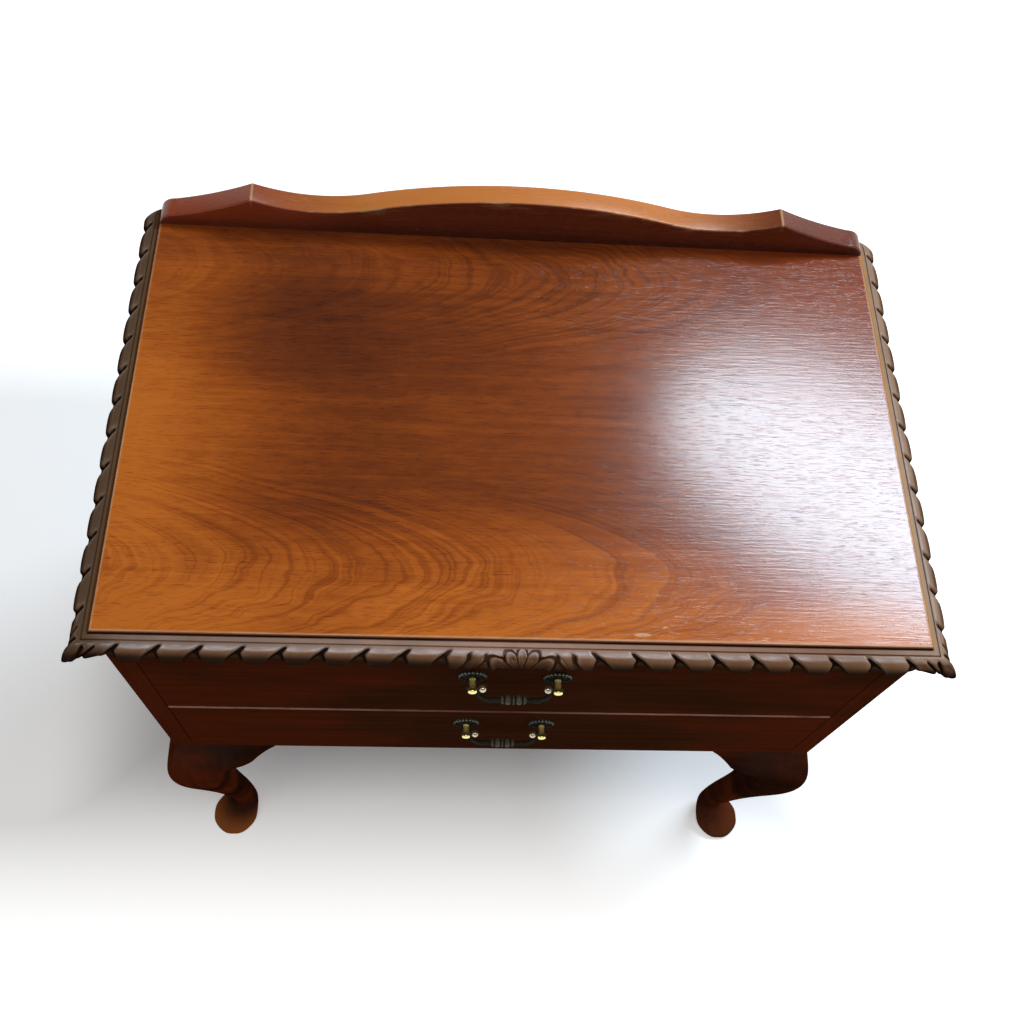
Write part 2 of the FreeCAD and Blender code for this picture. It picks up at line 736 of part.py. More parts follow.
class Drawer:
    """One drawer and its handle, between the heights of its front and of its sides."""

    def __init__(self, name, front_bottom, front_top, side_bottom, side_top, handle_drop):
        self.name = name
        self.front_bottom = front_bottom
        self.front_top = front_top
        self.side_bottom = side_bottom + SLIDE_CLEARANCE
        self.side_top = side_top - KICKER_CLEARANCE
        self.handle_z = front_top - handle_drop
        self.bottom_z = self.side_bottom + BOTTOM_GROOVE_HEIGHT
        self.bottom_top = self.bottom_z + DRAWER_BOTTOM_THICKNESS
        self.back_rear = drawer_rear - BACK_INSET
        self.back_front = self.back_rear - DRAWER_BACK_THICKNESS
        self.posts_x = (-POST_SPACING / 2, POST_SPACING / 2)

    def tails(self):
        """Dovetail shapes of the right side's front end, wider at their tips."""
        pitch = (self.side_top - self.side_bottom) / TAIL_COUNT
        root_half = pitch * TAIL_SHARE / 2
        tip_half = root_half + TAIL_FLARE
        tip_y = front_back_face - TAIL_LENGTH
        shapes = []
        for i in range(TAIL_COUNT):
            z = self.side_bottom + pitch * (i + 0.5)
            points = [
                V(drawer_inner, front_back_face, z - root_half),
                V(drawer_inner, tip_y, z - tip_half),
                V(drawer_inner, tip_y, z + tip_half),
                V(drawer_inner, front_back_face, z + root_half),
            ]
            shapes.append(prism(points, V(DRAWER_SIDE_THICKNESS, 0, 0)))
        return shapes

    def on_front(self, x, out):
        """Point on a handle post's axis, out millimetres in front of the drawer front."""
        return V(x, -half_depth - out, self.handle_z)

    def front(self):
        """Front board with half-blind sockets for the dovetails, a groove and the post bores."""
        board = box(-drawer_half, drawer_half, -half_depth, front_back_face, self.front_bottom, self.front_top)
        tails = self.tails()
        groove = box(
            -drawer_inner, drawer_inner,
            front_back_face - BOTTOM_GROOVE_DEPTH - FIT_CLEARANCE, front_back_face,
            self.bottom_z, self.bottom_top + FIT_CLEARANCE,
        )
        wide = STUD_RADIUS + STUD_CLEARANCE
        inside = -DRAWER_FRONT_THICKNESS
        bores = [cylinder(wide, self.on_front(x, 0), self.on_front(x, inside)) for x in self.posts_x]
        return cut_all(board, tails + [mirrored_x(tail) for tail in tails] + [groove] + bores)

    def right_side(self):
        """Side board with dovetails in front, a groove for the bottom and a housing for the back."""
        board = box(drawer_inner, drawer_half, front_back_face, drawer_rear, self.side_bottom, self.side_top)
        groove = box(
            drawer_inner, drawer_inner + BOTTOM_GROOVE_DEPTH + FIT_CLEARANCE, front_back_face, drawer_rear,
            self.bottom_z, self.bottom_top + FIT_CLEARANCE,
        )
        housing = box(
            drawer_inner, drawer_inner + BACK_HOUSING, self.back_front, self.back_rear,
            self.bottom_top, self.side_top,
        )
        return one_solid(board.cut(Part.makeCompound([groove, housing])).fuse(self.tails()))

    def bottom_screws(self):
        """Three small screws up through the bottom into the back."""
        y = (self.back_front + self.back_rear) / 2
        length = DRAWER_BOTTOM_THICKNESS + SCREW_BITE
        places = spread(3, drawer_inner - BOTTOM_SCREW_INSET)
        return [Screw(V(x, y, self.bottom_z), Z_AXIS, length, BOTTOM_SCREW_SHARE) for x in places]

    def back(self):
        reach = drawer_inner + BACK_HOUSING
        top = self.side_top - BACK_BELOW_SIDE
        board = box(-reach, reach, self.back_front, self.back_rear, self.bottom_top, top)
        return cut_all(board, holes(self.bottom_screws()))

    def bottom(self):
        """Thin board in the grooves of the sides and front, under the back."""
        reach = drawer_inner + BOTTOM_GROOVE_DEPTH
        board = box(-reach, reach, front_back_face, self.back_rear, self.bottom_z, self.bottom_top)
        tongue = box(
            -drawer_inner + FIT_CLEARANCE, drawer_inner - FIT_CLEARANCE,
            front_back_face - BOTTOM_GROOVE_DEPTH, front_back_face, self.bottom_z, self.bottom_top,
        )
        return cut_all(board.fuse(tongue), holes(self.bottom_screws()))

    def rosette(self, x):
        """Domed back plate with a scalloped rim."""
        bore = STUD_RADIUS + STUD_CLEARANCE
        dome = [(r * ROSETTE_RADIUS, t * ROSETTE_THICKNESS) for r, t in ROSETTE_PROFILE]
        profile = [(bore, 0), (ROSETTE_RADIUS, 0)] + dome + [(bore, ROSETTE_THICKNESS)]
        plate = turned(profile, self.on_front(x, 0), -Y_AXIS)
        cuts = []
        for i in range(ROSETTE_SCALLOPS):
            a = 2 * math.pi * i / ROSETTE_SCALLOPS
            spot = V(math.cos(a), 0, math.sin(a)) * (ROSETTE_RADIUS + ROSETTE_SCALLOP_OUT)
            start = self.on_front(x, -CUT_PAST) + spot
            end = self.on_front(x, ROSETTE_THICKNESS + CUT_PAST) + spot
            cuts.append(cylinder(ROSETTE_SCALLOP_RADIUS, start, end))
        return cut_all(plate, cuts)

    def post(self, x):
        """Turned post with a cross bore for the bail's pin and a stud through the drawer front."""
        seat = ROSETTE_THICKNESS
        end = -DRAWER_FRONT_THICKNESS - WASHER_THICKNESS - NUT_THICKNESS - STUD_END
        tip = POST_PROJECTION
        head = PIN_HEIGHT - POST_HEAD_BELOW_PIN
        profile = [
            (0, tip),
            (POST_CROWN_RADIUS, tip - POST_CROWN_RISE),
            (POST_HEAD_RADIUS, tip - POST_SHOULDER_DROP),
            (POST_HEAD_RADIUS, head + POST_NECK_SLOPE / 2),
            (POST_NECK_RADIUS, head - POST_NECK_SLOPE / 2),
            (POST_NECK_RADIUS, seat + 2 * POST_COLLAR_HEIGHT),
            (POST_COLLAR_RADIUS, seat + POST_COLLAR_HEIGHT),
            (POST_COLLAR_RADIUS, seat),
            (STUD_RADIUS, seat),
            (STUD_RADIUS, end),
            (0, end),
        ]
        solid = turned(profile, self.on_front(x, 0), -Y_AXIS)
        pin = self.on_front(x, PIN_HEIGHT)
        reach = X_AXIS * (POST_HEAD_RADIUS + CUT_PAST)
        return cut_all(solid, [cylinder(PIN_RADIUS + PIN_CLEARANCE, pin - reach, pin + reach)])

    def fixings(self, x):
        """Washer and hexagon nut on the stud, inside the drawer."""
        bore = STUD_RADIUS + STUD_CLEARANCE
        inside = self.on_front(x, -DRAWER_FRONT_THICKNESS)
        outer = inside + Y_AXIS * WASHER_THICKNESS
        end = outer + Y_AXIS * NUT_THICKNESS
        washer = cylinder(WASHER_RADIUS, inside, outer).cut(cylinder(bore, inside, outer))
        corner = NUT_ACROSS_FLATS / math.sqrt(3)
        angles = [math.radians(60 * i) for i in range(6)]
        flats = [outer + V(corner * math.cos(a), 0, corner * math.sin(a)) for a in angles]
        nut = prism(flats, Y_AXIS * NUT_THICKNESS).cut(cylinder(bore, outer, end))
        return [one_solid(washer), one_solid(nut)]

    def bail_path(self):
        """Right half of the bail's centre line, from its ball down round the corner to the knop."""
        ball_x = POST_SPACING / 2 - POST_HEAD_RADIUS - BAIL_BALL_GAP - BAIL_BALL_RADIUS
        corner_x = ball_x + BAIL_CORNER_OUT
        dip_x = corner_x * BAIL_DIP_SHARE
        y = -half_depth - PIN_HEIGHT
        return [
            V(ball_x, y, self.handle_z),
            V(corner_x, y, self.handle_z - BAIL_CORNER_DROP),
            V(dip_x, y, self.handle_z - BAIL_DROP - BAIL_DIP),
            V(KNOP_HALF_LENGTH - KNOP_OVER_ARM, y, self.handle_z - BAIL_DROP),
        ]

    def knop(self):
        """Ring-turned middle of the bail's grip, the same either side of its centre."""
        half = [(r * BAIL_RADIUS, -t * KNOP_HALF_LENGTH) for r, t in KNOP_PROFILE]
        other = [(r, -t) for r, t in reversed(half[:-1])]
        return turned(half + other, V(0, -half_depth - PIN_HEIGHT, self.handle_z - BAIL_DROP), X_AXIS)

    def bail(self):
        """Swinging handle: round arms with a double-bowed grip, ring-turned knop, balls and pins."""
        points = self.bail_path()
        edges = rounded_path(points, [BAIL_CORNER_RADIUS, BAIL_DIP_RADIUS])
        start = Part.Wire(Part.makeCircle(BAIL_RADIUS, points[0], points[1] - points[0]))
        arm = Part.Wire(edges).makePipeShell([start], True, False)
        ball = Part.makeSphere(BAIL_BALL_RADIUS, points[0])
        pin_end = self.on_front(POST_SPACING / 2 + POST_HEAD_RADIUS, PIN_HEIGHT)
        half = arm.fuse([ball, cylinder(PIN_RADIUS, points[0], pin_end)])
        return one_solid(self.knop().fuse([half, mirrored_x(half)]))

    def nodes(self):
        drawer = self.name + "_drawer_"
        handle = self.name + "_handle_"
        side = self.right_side()
        return {
            drawer + "front": self.front(),
            drawer + "side_right": side,
            drawer + "side_left": mirrored_x(side),
            drawer + "back": self.back(),
            drawer + "bottom": self.bottom(),
            drawer + "bottom_screws": solids(self.bottom_screws()),
            handle + "rosettes": Part.makeCompound([self.rosette(x) for x in self.posts_x]),
            handle + "posts": Part.makeCompound([self.post(x) for x in self.posts_x]),
            handle + "nuts": Part.makeCompound([part for x in self.posts_x for part in self.fixings(x)]),
            handle + "bail": self.bail(),
        }


def rounded_path(points, radii):
    """Straight runs joined by tangent arcs, each of its given radius or the most its runs allow."""
    edges = []
    start = points[0]
    for before, corner, after, radius in zip(points, points[1:], points[2:], radii):
        back = before - corner
        ahead = after - corner
        half = back.getAngle(ahead) / 2
        room = BEND_RUN_SHARE * min(back.Length, ahead.Length)
        reach = min(radius / math.tan(half), room)
        bend = reach * math.tan(half)
        back.normalize()
        ahead.normalize()
        inward = (back + ahead).normalize()
        first = corner + back * reach
        last = corner + ahead * reach
        edges += [line(start, first), arc(first, corner + inward * (bend / math.sin(half) - bend), last)]
        start = last
    edges.append(line(start, points[-1]))
    return edges


def build():
    """Every node of the cabinet by name."""
    side = right_side_panel()
    kicker = right_kicker()
    runner = right_runner()
    moulding = right_moulding()
    nodes = {
        "top_panel": top_panel(),
        "rope_moulding_front": front_moulding(),
        "rope_moulding_right": moulding,
        "rope_moulding_left": mirrored_x(moulding),
        "back_gallery": back_gallery(),
        "side_panel_right": side,
        "side_panel_left": mirrored_x(side),
        "back_panel": back_panel(),
        "base_board": base_board(),
        "top_rail_front": top_rail(rail_rows[0]),
        "top_rail_back": top_rail(rail_rows[1]),
        "kicker_right": kicker,
        "kicker_left": mirrored_x(kicker),
        "runner_right": runner,
        "runner_left": mirrored_x(runner),
        "rail_dowels": Part.makeCompound([cylinder(RAIL_DOWEL_RADIUS, a, b) for a, b in rail_dowels()]),
        "runner_screws": solids(runner_screws()),
        "top_screws": solids(top_screws()),
        "gallery_screws": solids(gallery_screws()),
        "back_panel_pins": back_pin_solids(),
    }
    nodes.update(stand())
    upper = Drawer("upper", upper_front_bottom, upper_front_top, runner_top, rail_bottom, UPPER_HANDLE_DROP)
    lower = Drawer("lower", lower_front_bottom, lower_front_top, base_top, runner_bottom, LOWER_HANDLE_DROP)
    nodes.update(upper.nodes())
    nodes.update(lower.nodes())
    return nodes


def main():
    os.makedirs("parts", exist_ok=True)
    for name, shape in build().items():
        if not shape.isValid():
            raise ValueError(name + " is not a valid shape")
        shape.exportStep("parts/" + name + ".step")


main()
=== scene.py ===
import math

import bmesh
import bpy
import numpy as np
from bpy.props import FloatProperty, FloatVectorProperty, IntProperty, PointerProperty
from bpy.types import Operator, Panel, PropertyGroup
from mathutils import Euler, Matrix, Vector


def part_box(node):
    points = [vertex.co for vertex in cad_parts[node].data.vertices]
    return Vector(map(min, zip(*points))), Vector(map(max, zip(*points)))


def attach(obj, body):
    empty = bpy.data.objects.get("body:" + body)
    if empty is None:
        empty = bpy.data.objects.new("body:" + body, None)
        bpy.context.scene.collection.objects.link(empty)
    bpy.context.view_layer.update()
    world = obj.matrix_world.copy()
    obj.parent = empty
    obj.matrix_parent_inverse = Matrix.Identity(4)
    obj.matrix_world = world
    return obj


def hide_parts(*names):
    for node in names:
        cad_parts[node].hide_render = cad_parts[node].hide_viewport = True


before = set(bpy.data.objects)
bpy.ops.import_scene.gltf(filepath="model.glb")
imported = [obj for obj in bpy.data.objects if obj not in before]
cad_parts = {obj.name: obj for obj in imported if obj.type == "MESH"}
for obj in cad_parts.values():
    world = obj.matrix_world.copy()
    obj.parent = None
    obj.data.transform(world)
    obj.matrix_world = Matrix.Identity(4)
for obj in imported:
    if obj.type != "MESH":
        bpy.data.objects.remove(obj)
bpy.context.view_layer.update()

bl_info = {
    "name": "Nightstand Looks",
    "version": (1, 0, 0),
    "blender": (4, 5, 0),
    "location": "View3D > Sidebar > Nightstand",
    "description": "Carving, handles, wood finishes and studio for a two-drawer nightstand",
    "category": "Object",
}

MM = 0.001

# Joining distance for points that coincide, and the angle past which an edge stays crisp
WELD = 1e-6
CRISP_ANGLE = math.radians(42)

# Axes that grain runs along
X, Y, Z = range(3)


def srgb(red, green, blue):
    """Linear colour of three 0-255 display values."""
    shares = [value / 255 for value in (red, green, blue)]
    return tuple(s / 12.92 if s <= 0.04045 else ((s + 0.055) / 1.055) ** 2.4 for s in shares)


def length(name, description, default):
    return FloatProperty(name=name, description=description, default=default, unit="LENGTH", precision=5)


def colour(name, description, default):
    return FloatVectorProperty(
        name=name, description=description, default=default, subtype="COLOR", size=3, min=0, max=1)


# Settings a user would change

class WoodColours(PropertyGroup):
    """Stain and timber colours."""
    veneer_dark: colour("Veneer dark", "Darkest figure of the top", srgb(70, 27, 10))
    veneer_brown: colour("Veneer brown", "Middle of the top", srgb(122, 54, 15))
    veneer_orange: colour("Veneer orange", "Warm ground of the top", srgb(168, 80, 20))
    veneer_light: colour("Veneer light", "Lightest figure of the top", srgb(212, 114, 36))
    moulding: colour("Moulding", "Stain of the carved mouldings", srgb(132, 92, 64))
    # Dark of the carving: dirt in the hollows, and painted shade in them and where the ovolo turns under
    moulding_shade_and_dirt: colour("Moulding hollow", "Dirt in the carving", srgb(26, 15, 10))
    gallery: colour("Gallery", "Red-brown of the gallery", srgb(112, 46, 20))
    # Painted highlight: orange of the gallery's upper edge, where light falls on it
    gallery_lit_edge: colour("Gallery edge", "Faded orange of the gallery's upper edge", srgb(214, 126, 56))
    case: colour("Case", "Dark red-brown of the case and drawer fronts", srgb(90, 48, 28))
    legs: colour("Legs", "Dark brown of the legs", srgb(60, 32, 19))
    worn: colour("Worn edge", "Bare wood where the finish is rubbed off", srgb(205, 160, 112))
    lining: colour("Drawer lining", "Bare wood of the drawer sides", srgb(204, 158, 108))
    plywood: colour("Plywood", "Back panel and drawer bottoms", srgb(192, 142, 94))
    dowel: colour("Dowel", "Beech of the dowels", srgb(206, 170, 124))


class MouldingSizes(PropertyGroup):
    """Rope carving of the edge mouldings."""
    pitch: length("Lobe pitch", "From one wedge to the next", 28.3 * MM)
    first: length("Corner leaf", "From the mitre to the first wedge", 32.1 * MM)
    lean: length("Wedge lean", "How far a wedge leans towards the corner", 12.5 * MM)
    depth: length("Wedge depth", "Deepest cut of a wedge", 4.0 * MM)
    gap: length("Wedge gap", "Width of a wedge at its lower end", 9.0 * MM)
    wall: length("Wedge wall", "Width of a wedge's walls", 2.2 * MM)
    swell: length("Lobe swell", "Rise of a lobe between two wedges", 1.8 * MM)
    end_round: length("End round", "Rounding of the back ends in plan", 10 * MM)
    side_share: FloatProperty(
        name="Side carving", description="Depth of the side carving compared with the front's",
        default=0.6, min=0)


class HandleSizes(PropertyGroup):
    """Cast handles and their metal."""
    beads: IntProperty(name="Rim beads", description="Beads round a rosette", default=22, min=6)
    petals: IntProperty(name="Petals", description="Petals on a rosette", default=8, min=3)
    bronze: colour("Bronze", "Dark metal of rosettes and bails", srgb(22, 24, 20))
    bronze_rubbed: colour("Rubbed bronze", "Bronze where hands polish it", srgb(214, 204, 172))
    brass: colour("Brass", "Metal of the posts", srgb(206, 186, 104))
    brass_rubbed: colour("Rubbed brass", "Brass where hands polish it", srgb(250, 234, 150))
    steel: colour("Steel", "Metal of nuts, screws and pins", srgb(150, 148, 144))
    steel_rubbed: colour("Rubbed steel", "Steel where tools polish it", srgb(196, 194, 190))


class StageSettings(PropertyGroup):
    """Studio round the nightstand."""
    key_power: FloatProperty(name="Key power", description="Window lamp", default=42.0, unit="POWER")
    fill_power: FloatProperty(name="Fill power", description="Overhead lamp", default=9.0, unit="POWER")
    room: FloatProperty(
        name="Room light", description="Strength of the grey surroundings", default=0.1, min=0)
    floor: colour("Floor", "Colour of the floor and backdrop", (0.9, 0.9, 0.9))
    lens: FloatProperty(name="Lens", description="Focal length in millimetres", default=38.67)


# Numbers on whole arrays

def smooth(value, low, high):
    """0 at low, 1 at high, with a smooth step between them; low may be above high."""
    t = np.clip((value - low) / (high - low), 0, 1)
    return t * t * (3 - 2 * t)


def bell(value, centre, width):
    """1 at the centre, falling away over the width like a bell."""
    return np.exp(-((value - centre) / width) ** 2)


def arc_through(start, middle, end, count):
    """Points of the circular arc from start through middle to end, and the circle's centre."""
    start, middle, end = (np.asarray(point, float) for point in (start, middle, end))
    sides = np.array([middle - start, end - start])
    centre = start + np.linalg.solve(sides, (sides ** 2).sum(axis=1) / 2)
    radius = np.linalg.norm(start - centre)
    angles = np.unwrap([math.atan2(*(point - centre)[::-1]) for point in (start, middle, end)])
    sweep = np.linspace(angles[0], angles[2], count)
    return centre + radius * np.stack([np.cos(sweep), np.sin(sweep)], axis=-1), centre


def tangents(path):
    """Unit directions along a path."""
    steps = np.gradient(path, axis=0)
    return steps / np.linalg.norm(steps, axis=1)[:, None]


def turned(profile, origin, axis, side, steps=64):
    """Grid of a profile of (radius, distance along the axis) turned once about an axis through origin."""
    radius, along = np.asarray(profile, float).T
    axis, side = np.asarray(axis, float), np.asarray(side, float)
    across = np.cross(axis, side)
    angle = np.linspace(0, 2 * np.pi, steps + 1)
    spoke = np.cos(angle)[:, None] * side + np.sin(angle)[:, None] * across
    return np.asarray(origin) + radius[None, :, None] * spoke[:, None, :] + along[None, :, None] * axis


def surface(name, grids, fields=None):
    """Mesh object from grids of points.

    Each grid is an array of rows, columns and XYZ: neighbouring points make quads, points that
    coincide are joined, which closes seams and poles, and faces are turned outwards.
    """
    points = np.concatenate([grid.reshape(-1, 3) for grid in grids])
    quads, start = [], 0
    for grid in grids:
        rows, columns = grid.shape[:2]
        index = start + np.arange(rows * columns).reshape(rows, columns)
        corners = [index[:-1, :-1], index[1:, :-1], index[1:, 1:], index[:-1, 1:]]
        quads.append(np.stack(corners, axis=-1).reshape(-1, 4))
        start += rows * columns
    quads = np.concatenate(quads)
    mesh = bpy.data.meshes.new(name)
    mesh.vertices.add(len(points))
    mesh.vertices.foreach_set("co", points.ravel())
    mesh.loops.add(quads.size)
    mesh.loops.foreach_set("vertex_index", quads.ravel())
    mesh.polygons.add(len(quads))
    mesh.polygons.foreach_set("loop_start", np.arange(0, quads.size, 4))
    mesh.update(calc_edges=True)
    for field, values in (fields or {}).items():
        layer = mesh.attributes.new(field, "FLOAT", "POINT")
        layer.data.foreach_set("value", np.asarray(values, np.float32).ravel())
    shell = bmesh.new()
    shell.from_mesh(mesh)
    bmesh.ops.remove_doubles(shell, verts=shell.verts, dist=WELD)
    bmesh.ops.dissolve_degenerate(shell, edges=shell.edges, dist=WELD / 10)
    bmesh.ops.recalc_face_normals(shell, faces=shell.faces)
    shell.to_mesh(mesh)
    shell.free()
    mesh.shade_smooth()
    mesh.set_sharp_from_angle(angle=CRISP_ANGLE)
    piece = bpy.data.objects.new(name, mesh)
    bpy.context.scene.collection.objects.link(piece)
    return piece


def place(piece, body, slot, finish, *nodes):
    """Gives a piece its body and its material, and hides the nodes that it stands for; slot is not used."""
    piece.data.materials.append(finish)
    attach(piece, body)
    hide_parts(*nodes)


def dress(finish, *nodes):
    """Puts a material on CAD nodes."""
    for node in nodes:
        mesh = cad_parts[node].data
        mesh.materials.clear()
        mesh.materials.append(finish)


def extent(node):
    """Lowest and highest corner of a CAD node as arrays."""
    return [np.array(corner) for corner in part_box(node)]


# Shader maths

class Socket:
    """Output of a shader node. Arithmetic on it adds Math nodes to its material."""

    def __init__(self, finish, output):
        self.finish = finish
        self.output = output

    def math(self, operation, *values):
        return self.finish.node("ShaderNodeMath", {"operation": operation}, dict(enumerate(values)))

    def __add__(self, other):
        return self.math("ADD", self, other)

    __radd__ = __add__

    def __sub__(self, other):
        return self.math("SUBTRACT", self, other)

    def __rsub__(self, other):
        return self.math("SUBTRACT", other, self)

    def __mul__(self, other):
        return self.math("MULTIPLY", self, other)

    def __truediv__(self, other):
        return self.math("DIVIDE", self, other)

    def __pow__(self, other):
        return self.math("POWER", self, other)

    def __neg__(self):
        return self.math("MULTIPLY", self, -1.0)

    def __abs__(self):
        return self.math("ABSOLUTE", self)

    def sign(self):
        return self.math("SIGN", self)

    def most(self, other):
        return self.math("MAXIMUM", self, other)

    def least(self, other):
        return self.math("MINIMUM", self, other)

    def step(self, low, high):
        """0 below low, 1 above high, with a smooth step between; falling where low is above high."""
        settings = {"interpolation_type": "SMOOTHSTEP"}
        if low < high:
            return self.finish.node("ShaderNodeMapRange", settings, {0: self, 1: low, 2: high})
        rising = self.finish.node("ShaderNodeMapRange", settings, {0: self, 1: high, 2: low})
        return 1 - rising


class Finish:
    """A material in the making: one Principled shader and the nodes that feed it."""

    def __init__(self, name):
        self.material = bpy.data.materials.new(name)
        self.material.use_nodes = True
        self.tree = self.material.node_tree
        self.shader = self.tree.nodes["Principled BSDF"]

    def node(self, kind, settings=None, values=None, output=0):
        """Adds a node of a kind, with its settings first and then its sockets' values or links."""
        node = self.tree.nodes.new(kind)
        for key, value in (settings or {}).items():
            if key == "stops":
                self.set_stops(node.color_ramp, value)
            else:
                setattr(node, key, value)
        for key, value in (values or {}).items():
            self.feed(node.inputs[key], value)
        return Socket(self, node.outputs[output])

    def set_stops(self, ramp, stops):
        for position, shade in stops[1:-1]:
            ramp.elements.new(position)
        for element, (position, shade) in zip(ramp.elements, stops):
            element.position = position
            element.color = (*shade, 1)

    def feed(self, target, value):
        if isinstance(value, Socket):
            self.tree.links.new(value.output, target)
        elif target.type == "RGBA":
            target.default_value = (*value[:3], 1)
        else:
            target.default_value = value

    def place(self):
        """The surface point's X, Y and Z on the object, in metres."""
        point = self.node("ShaderNodeTexCoord", output="Object")
        split = self.node("ShaderNodeSeparateXYZ", values={0: point})
        return [Socket(self, output) for output in split.output.node.outputs]

    def vector(self, x, y, z):
        return self.node("ShaderNodeCombineXYZ", values={0: x, 1: y, 2: z})

    def noise(self, x, y, z, detail=2.0, roughness=0.5):
        values = {"Vector": self.vector(x, y, z), "Scale": 1.0, "Detail": detail, "Roughness": roughness}
        return self.node("ShaderNodeTexNoise", values=values)

    def field(self, name):
        """A value stored on the mesh."""
        return self.node("ShaderNodeAttribute", {"attribute_name": name}, output="Fac")

    def ramp(self, value, stops):
        return self.node("ShaderNodeValToRGB", {"stops": stops}, {0: value})

    def mix(self, share, first, second):
        """Colour between two colours."""
        return self.node("ShaderNodeMix", {"data_type": "RGBA"}, {0: share, 6: first, 7: second}, output=2)

    def shade(self, tone, value):
        """A colour multiplied by a value."""
        grey = self.vector(value, value, value)
        settings = {"data_type": "RGBA", "blend_type": "MULTIPLY"}
        return self.node("ShaderNodeMix", settings, {0: 1.0, 6: tone, 7: grey}, output=2)

    def face_on(self):
        """1 where the surface is seen face on, 0 at a glancing view: the gloss of old, dulled polish."""
        return self.node("ShaderNodeLayerWeight", values={"Blend": 0.5}, output="Facing").step(0.62, 0.35)

    def bump(self, height, depth):
        """Feeds the shader's normal with a relief of a height from 0 to 1 and a real depth."""
        normal = self.node("ShaderNodeBump", values={"Height": height, "Distance": depth})
        self.feed(self.shader.inputs["Normal"], normal)

    def done(self, **sockets):
        """Sets the shader's sockets, whose names have spaces where the keywords have underscores."""
        for name, value in sockets.items():
            self.feed(self.shader.inputs[name.replace("_", " ")], value)
        return self.material


# Wood finishes

# Contrast and roughness of bare timbers
LINING = {"contrast": 0.25, "roughness": 0.55}
PLYWOOD = {"contrast": 0.3, "roughness": 0.6}
BEECH = {"contrast": 0.2, "roughness": 0.5}
# Tones that belong to a finish
LACQUER_RED = srgb(112, 48, 24)
# Painted highlight on the toes of the legs
TOE_HIGHLIGHT = srgb(204, 122, 62)
# Pale top edge of the lower drawer front: wear, and a painted highlight where the arris catches light
ARRIS_WEAR_AND_HIGHLIGHT = srgb(226, 164, 148)
VENEER_RED = srgb(142, 54, 26)
VENEER_RIM = srgb(208, 138, 72)
# Painted highlight line along the upper ovolo of the carving
CARVING_HIGHLIGHT_LINE = srgb(200, 186, 186)
# Pale crests of the carving: wear, and a painted highlight on lit edges
CARVING_CREST = srgb(170, 140, 118)
# Tones of the line beside the panel at the sides: dark on the left, pale orange on the right
JOINT_LINE_TONES = (srgb(98, 58, 22), srgb(188, 134, 62))  # left, right
# Painted sheen on the upper side of the carving, standing in for the room mirrored in it, as places from the
# left end to the right and tones
CARVING_PAINTED_SHEEN = (
    (0.02, srgb(98, 74, 54)), (0.07, srgb(144, 119, 105)), (0.5, srgb(174, 138, 120)),
    (0.88, srgb(140, 102, 78)), (0.98, srgb(160, 128, 106)))


def grain_axes(point, axis):
    """The surface point's parts along the grain and across it."""
    return [point[(axis + turn) % 3] for turn in range(3)]


def grain(finish, point, axis, fine):
    """Straight grain: a value about 0.5 of long soft streaks under finer fibres, and 1 in short pores."""
    along, across, third = grain_axes(point, axis)
    soft = finish.noise(along / 0.22, across / (5 * fine), third / (5 * fine), 3.0)
    fibre = finish.noise(along / 0.05, across / fine, third / fine, 2.0, 0.6)
    dash = finish.noise(along / (9 * MM), across / (0.45 * MM), third / (0.45 * MM), 1.0)
    return soft * 0.6 + fibre * 0.4, dash.step(0.60, 0.70)


def plain_wood(name, tone, axis, contrast, roughness, fine=1.6 * MM):
    """Straight-grained timber: tone varies with streaks and pores along an axis."""
    finish = Finish(name)
    point = finish.place()
    value, pore = grain(finish, point, axis, fine)
    along, across, third = grain_axes(point, axis)
    cloud = finish.noise(along / 0.12, across / 0.06, third / 0.06, 1.0)
    level = 1 + (value - 0.5) * (2 * contrast) + (cloud - 0.5) * contrast - pore * (0.35 * contrast)
    finish.bump(value * 0.4 - pore * 0.6, 0.12 * MM)
    return finish.done(
        Base_Color=finish.shade(tone, level), Roughness=roughness + (value - 0.5) * 0.15 + pore * 0.1)


def lacquered_wood(name, tone, axis, redden=0.25, gloss=0.22, worn_and_lit_from=None):
    """Dark lacquer over straight grain: brown-black and red-brown clouds, a gloss that is strongest face on.

    redden is how far from the middle the red takes over; above the height that the last argument gives,
    the wood is painted pale, as wear and as a painted highlight on the arris, and the toes carry a
    painted orange highlight, stronger on the left.
    """
    finish = Finish(name)
    x, y, z = finish.place()
    value, pore = grain(finish, (x, y, z), axis, 1.3 * MM)
    cloud = finish.noise(x / 0.10, y / 0.08, z / 0.05)
    red = (cloud + abs(x - 0.03) * 1.5 - redden).step(0.30, 0.72)
    shown = finish.mix(red, finish.shade(tone, 0.75 + cloud * 0.3), LACQUER_RED)
    shown = finish.shade(shown, 1 + (value - 0.5) * 1.1 - pore * 0.22)
    # Painted highlight: the toes are lightened to orange, more on the left feet
    toes = z.step(0.034, 0.004) * (0.15 + x.step(0.15, -0.15) * 0.85)
    shown = finish.mix(toes * (0.5 + cloud * 0.5), shown, TOE_HIGHLIGHT)
    if worn_and_lit_from:
        # Pale band at the top edge: wear, and a painted highlight of the arris catching light from above
        rubbed = finish.noise(x / 0.03, y / 0.01, z / 0.004, 3.0, 0.6)
        edge = z.step(worn_and_lit_from, worn_and_lit_from + 1.2 * MM) * (0.35 + abs(x + 0.02).step(0.0, 0.16) * 0.45)
        shown = finish.mix(edge * rubbed.step(0.22, 0.50), shown, ARRIS_WEAR_AND_HIGHLIGHT)
    finish.bump(value * 0.4 - pore * 0.6, 0.05 * MM)
    return finish.done(
        Base_Color=shown, Roughness=0.42 + (value - 0.5) * 0.2, Specular_IOR_Level=0.0,
        Coat_Weight=finish.face_on() * gloss, Coat_Roughness=0.22)


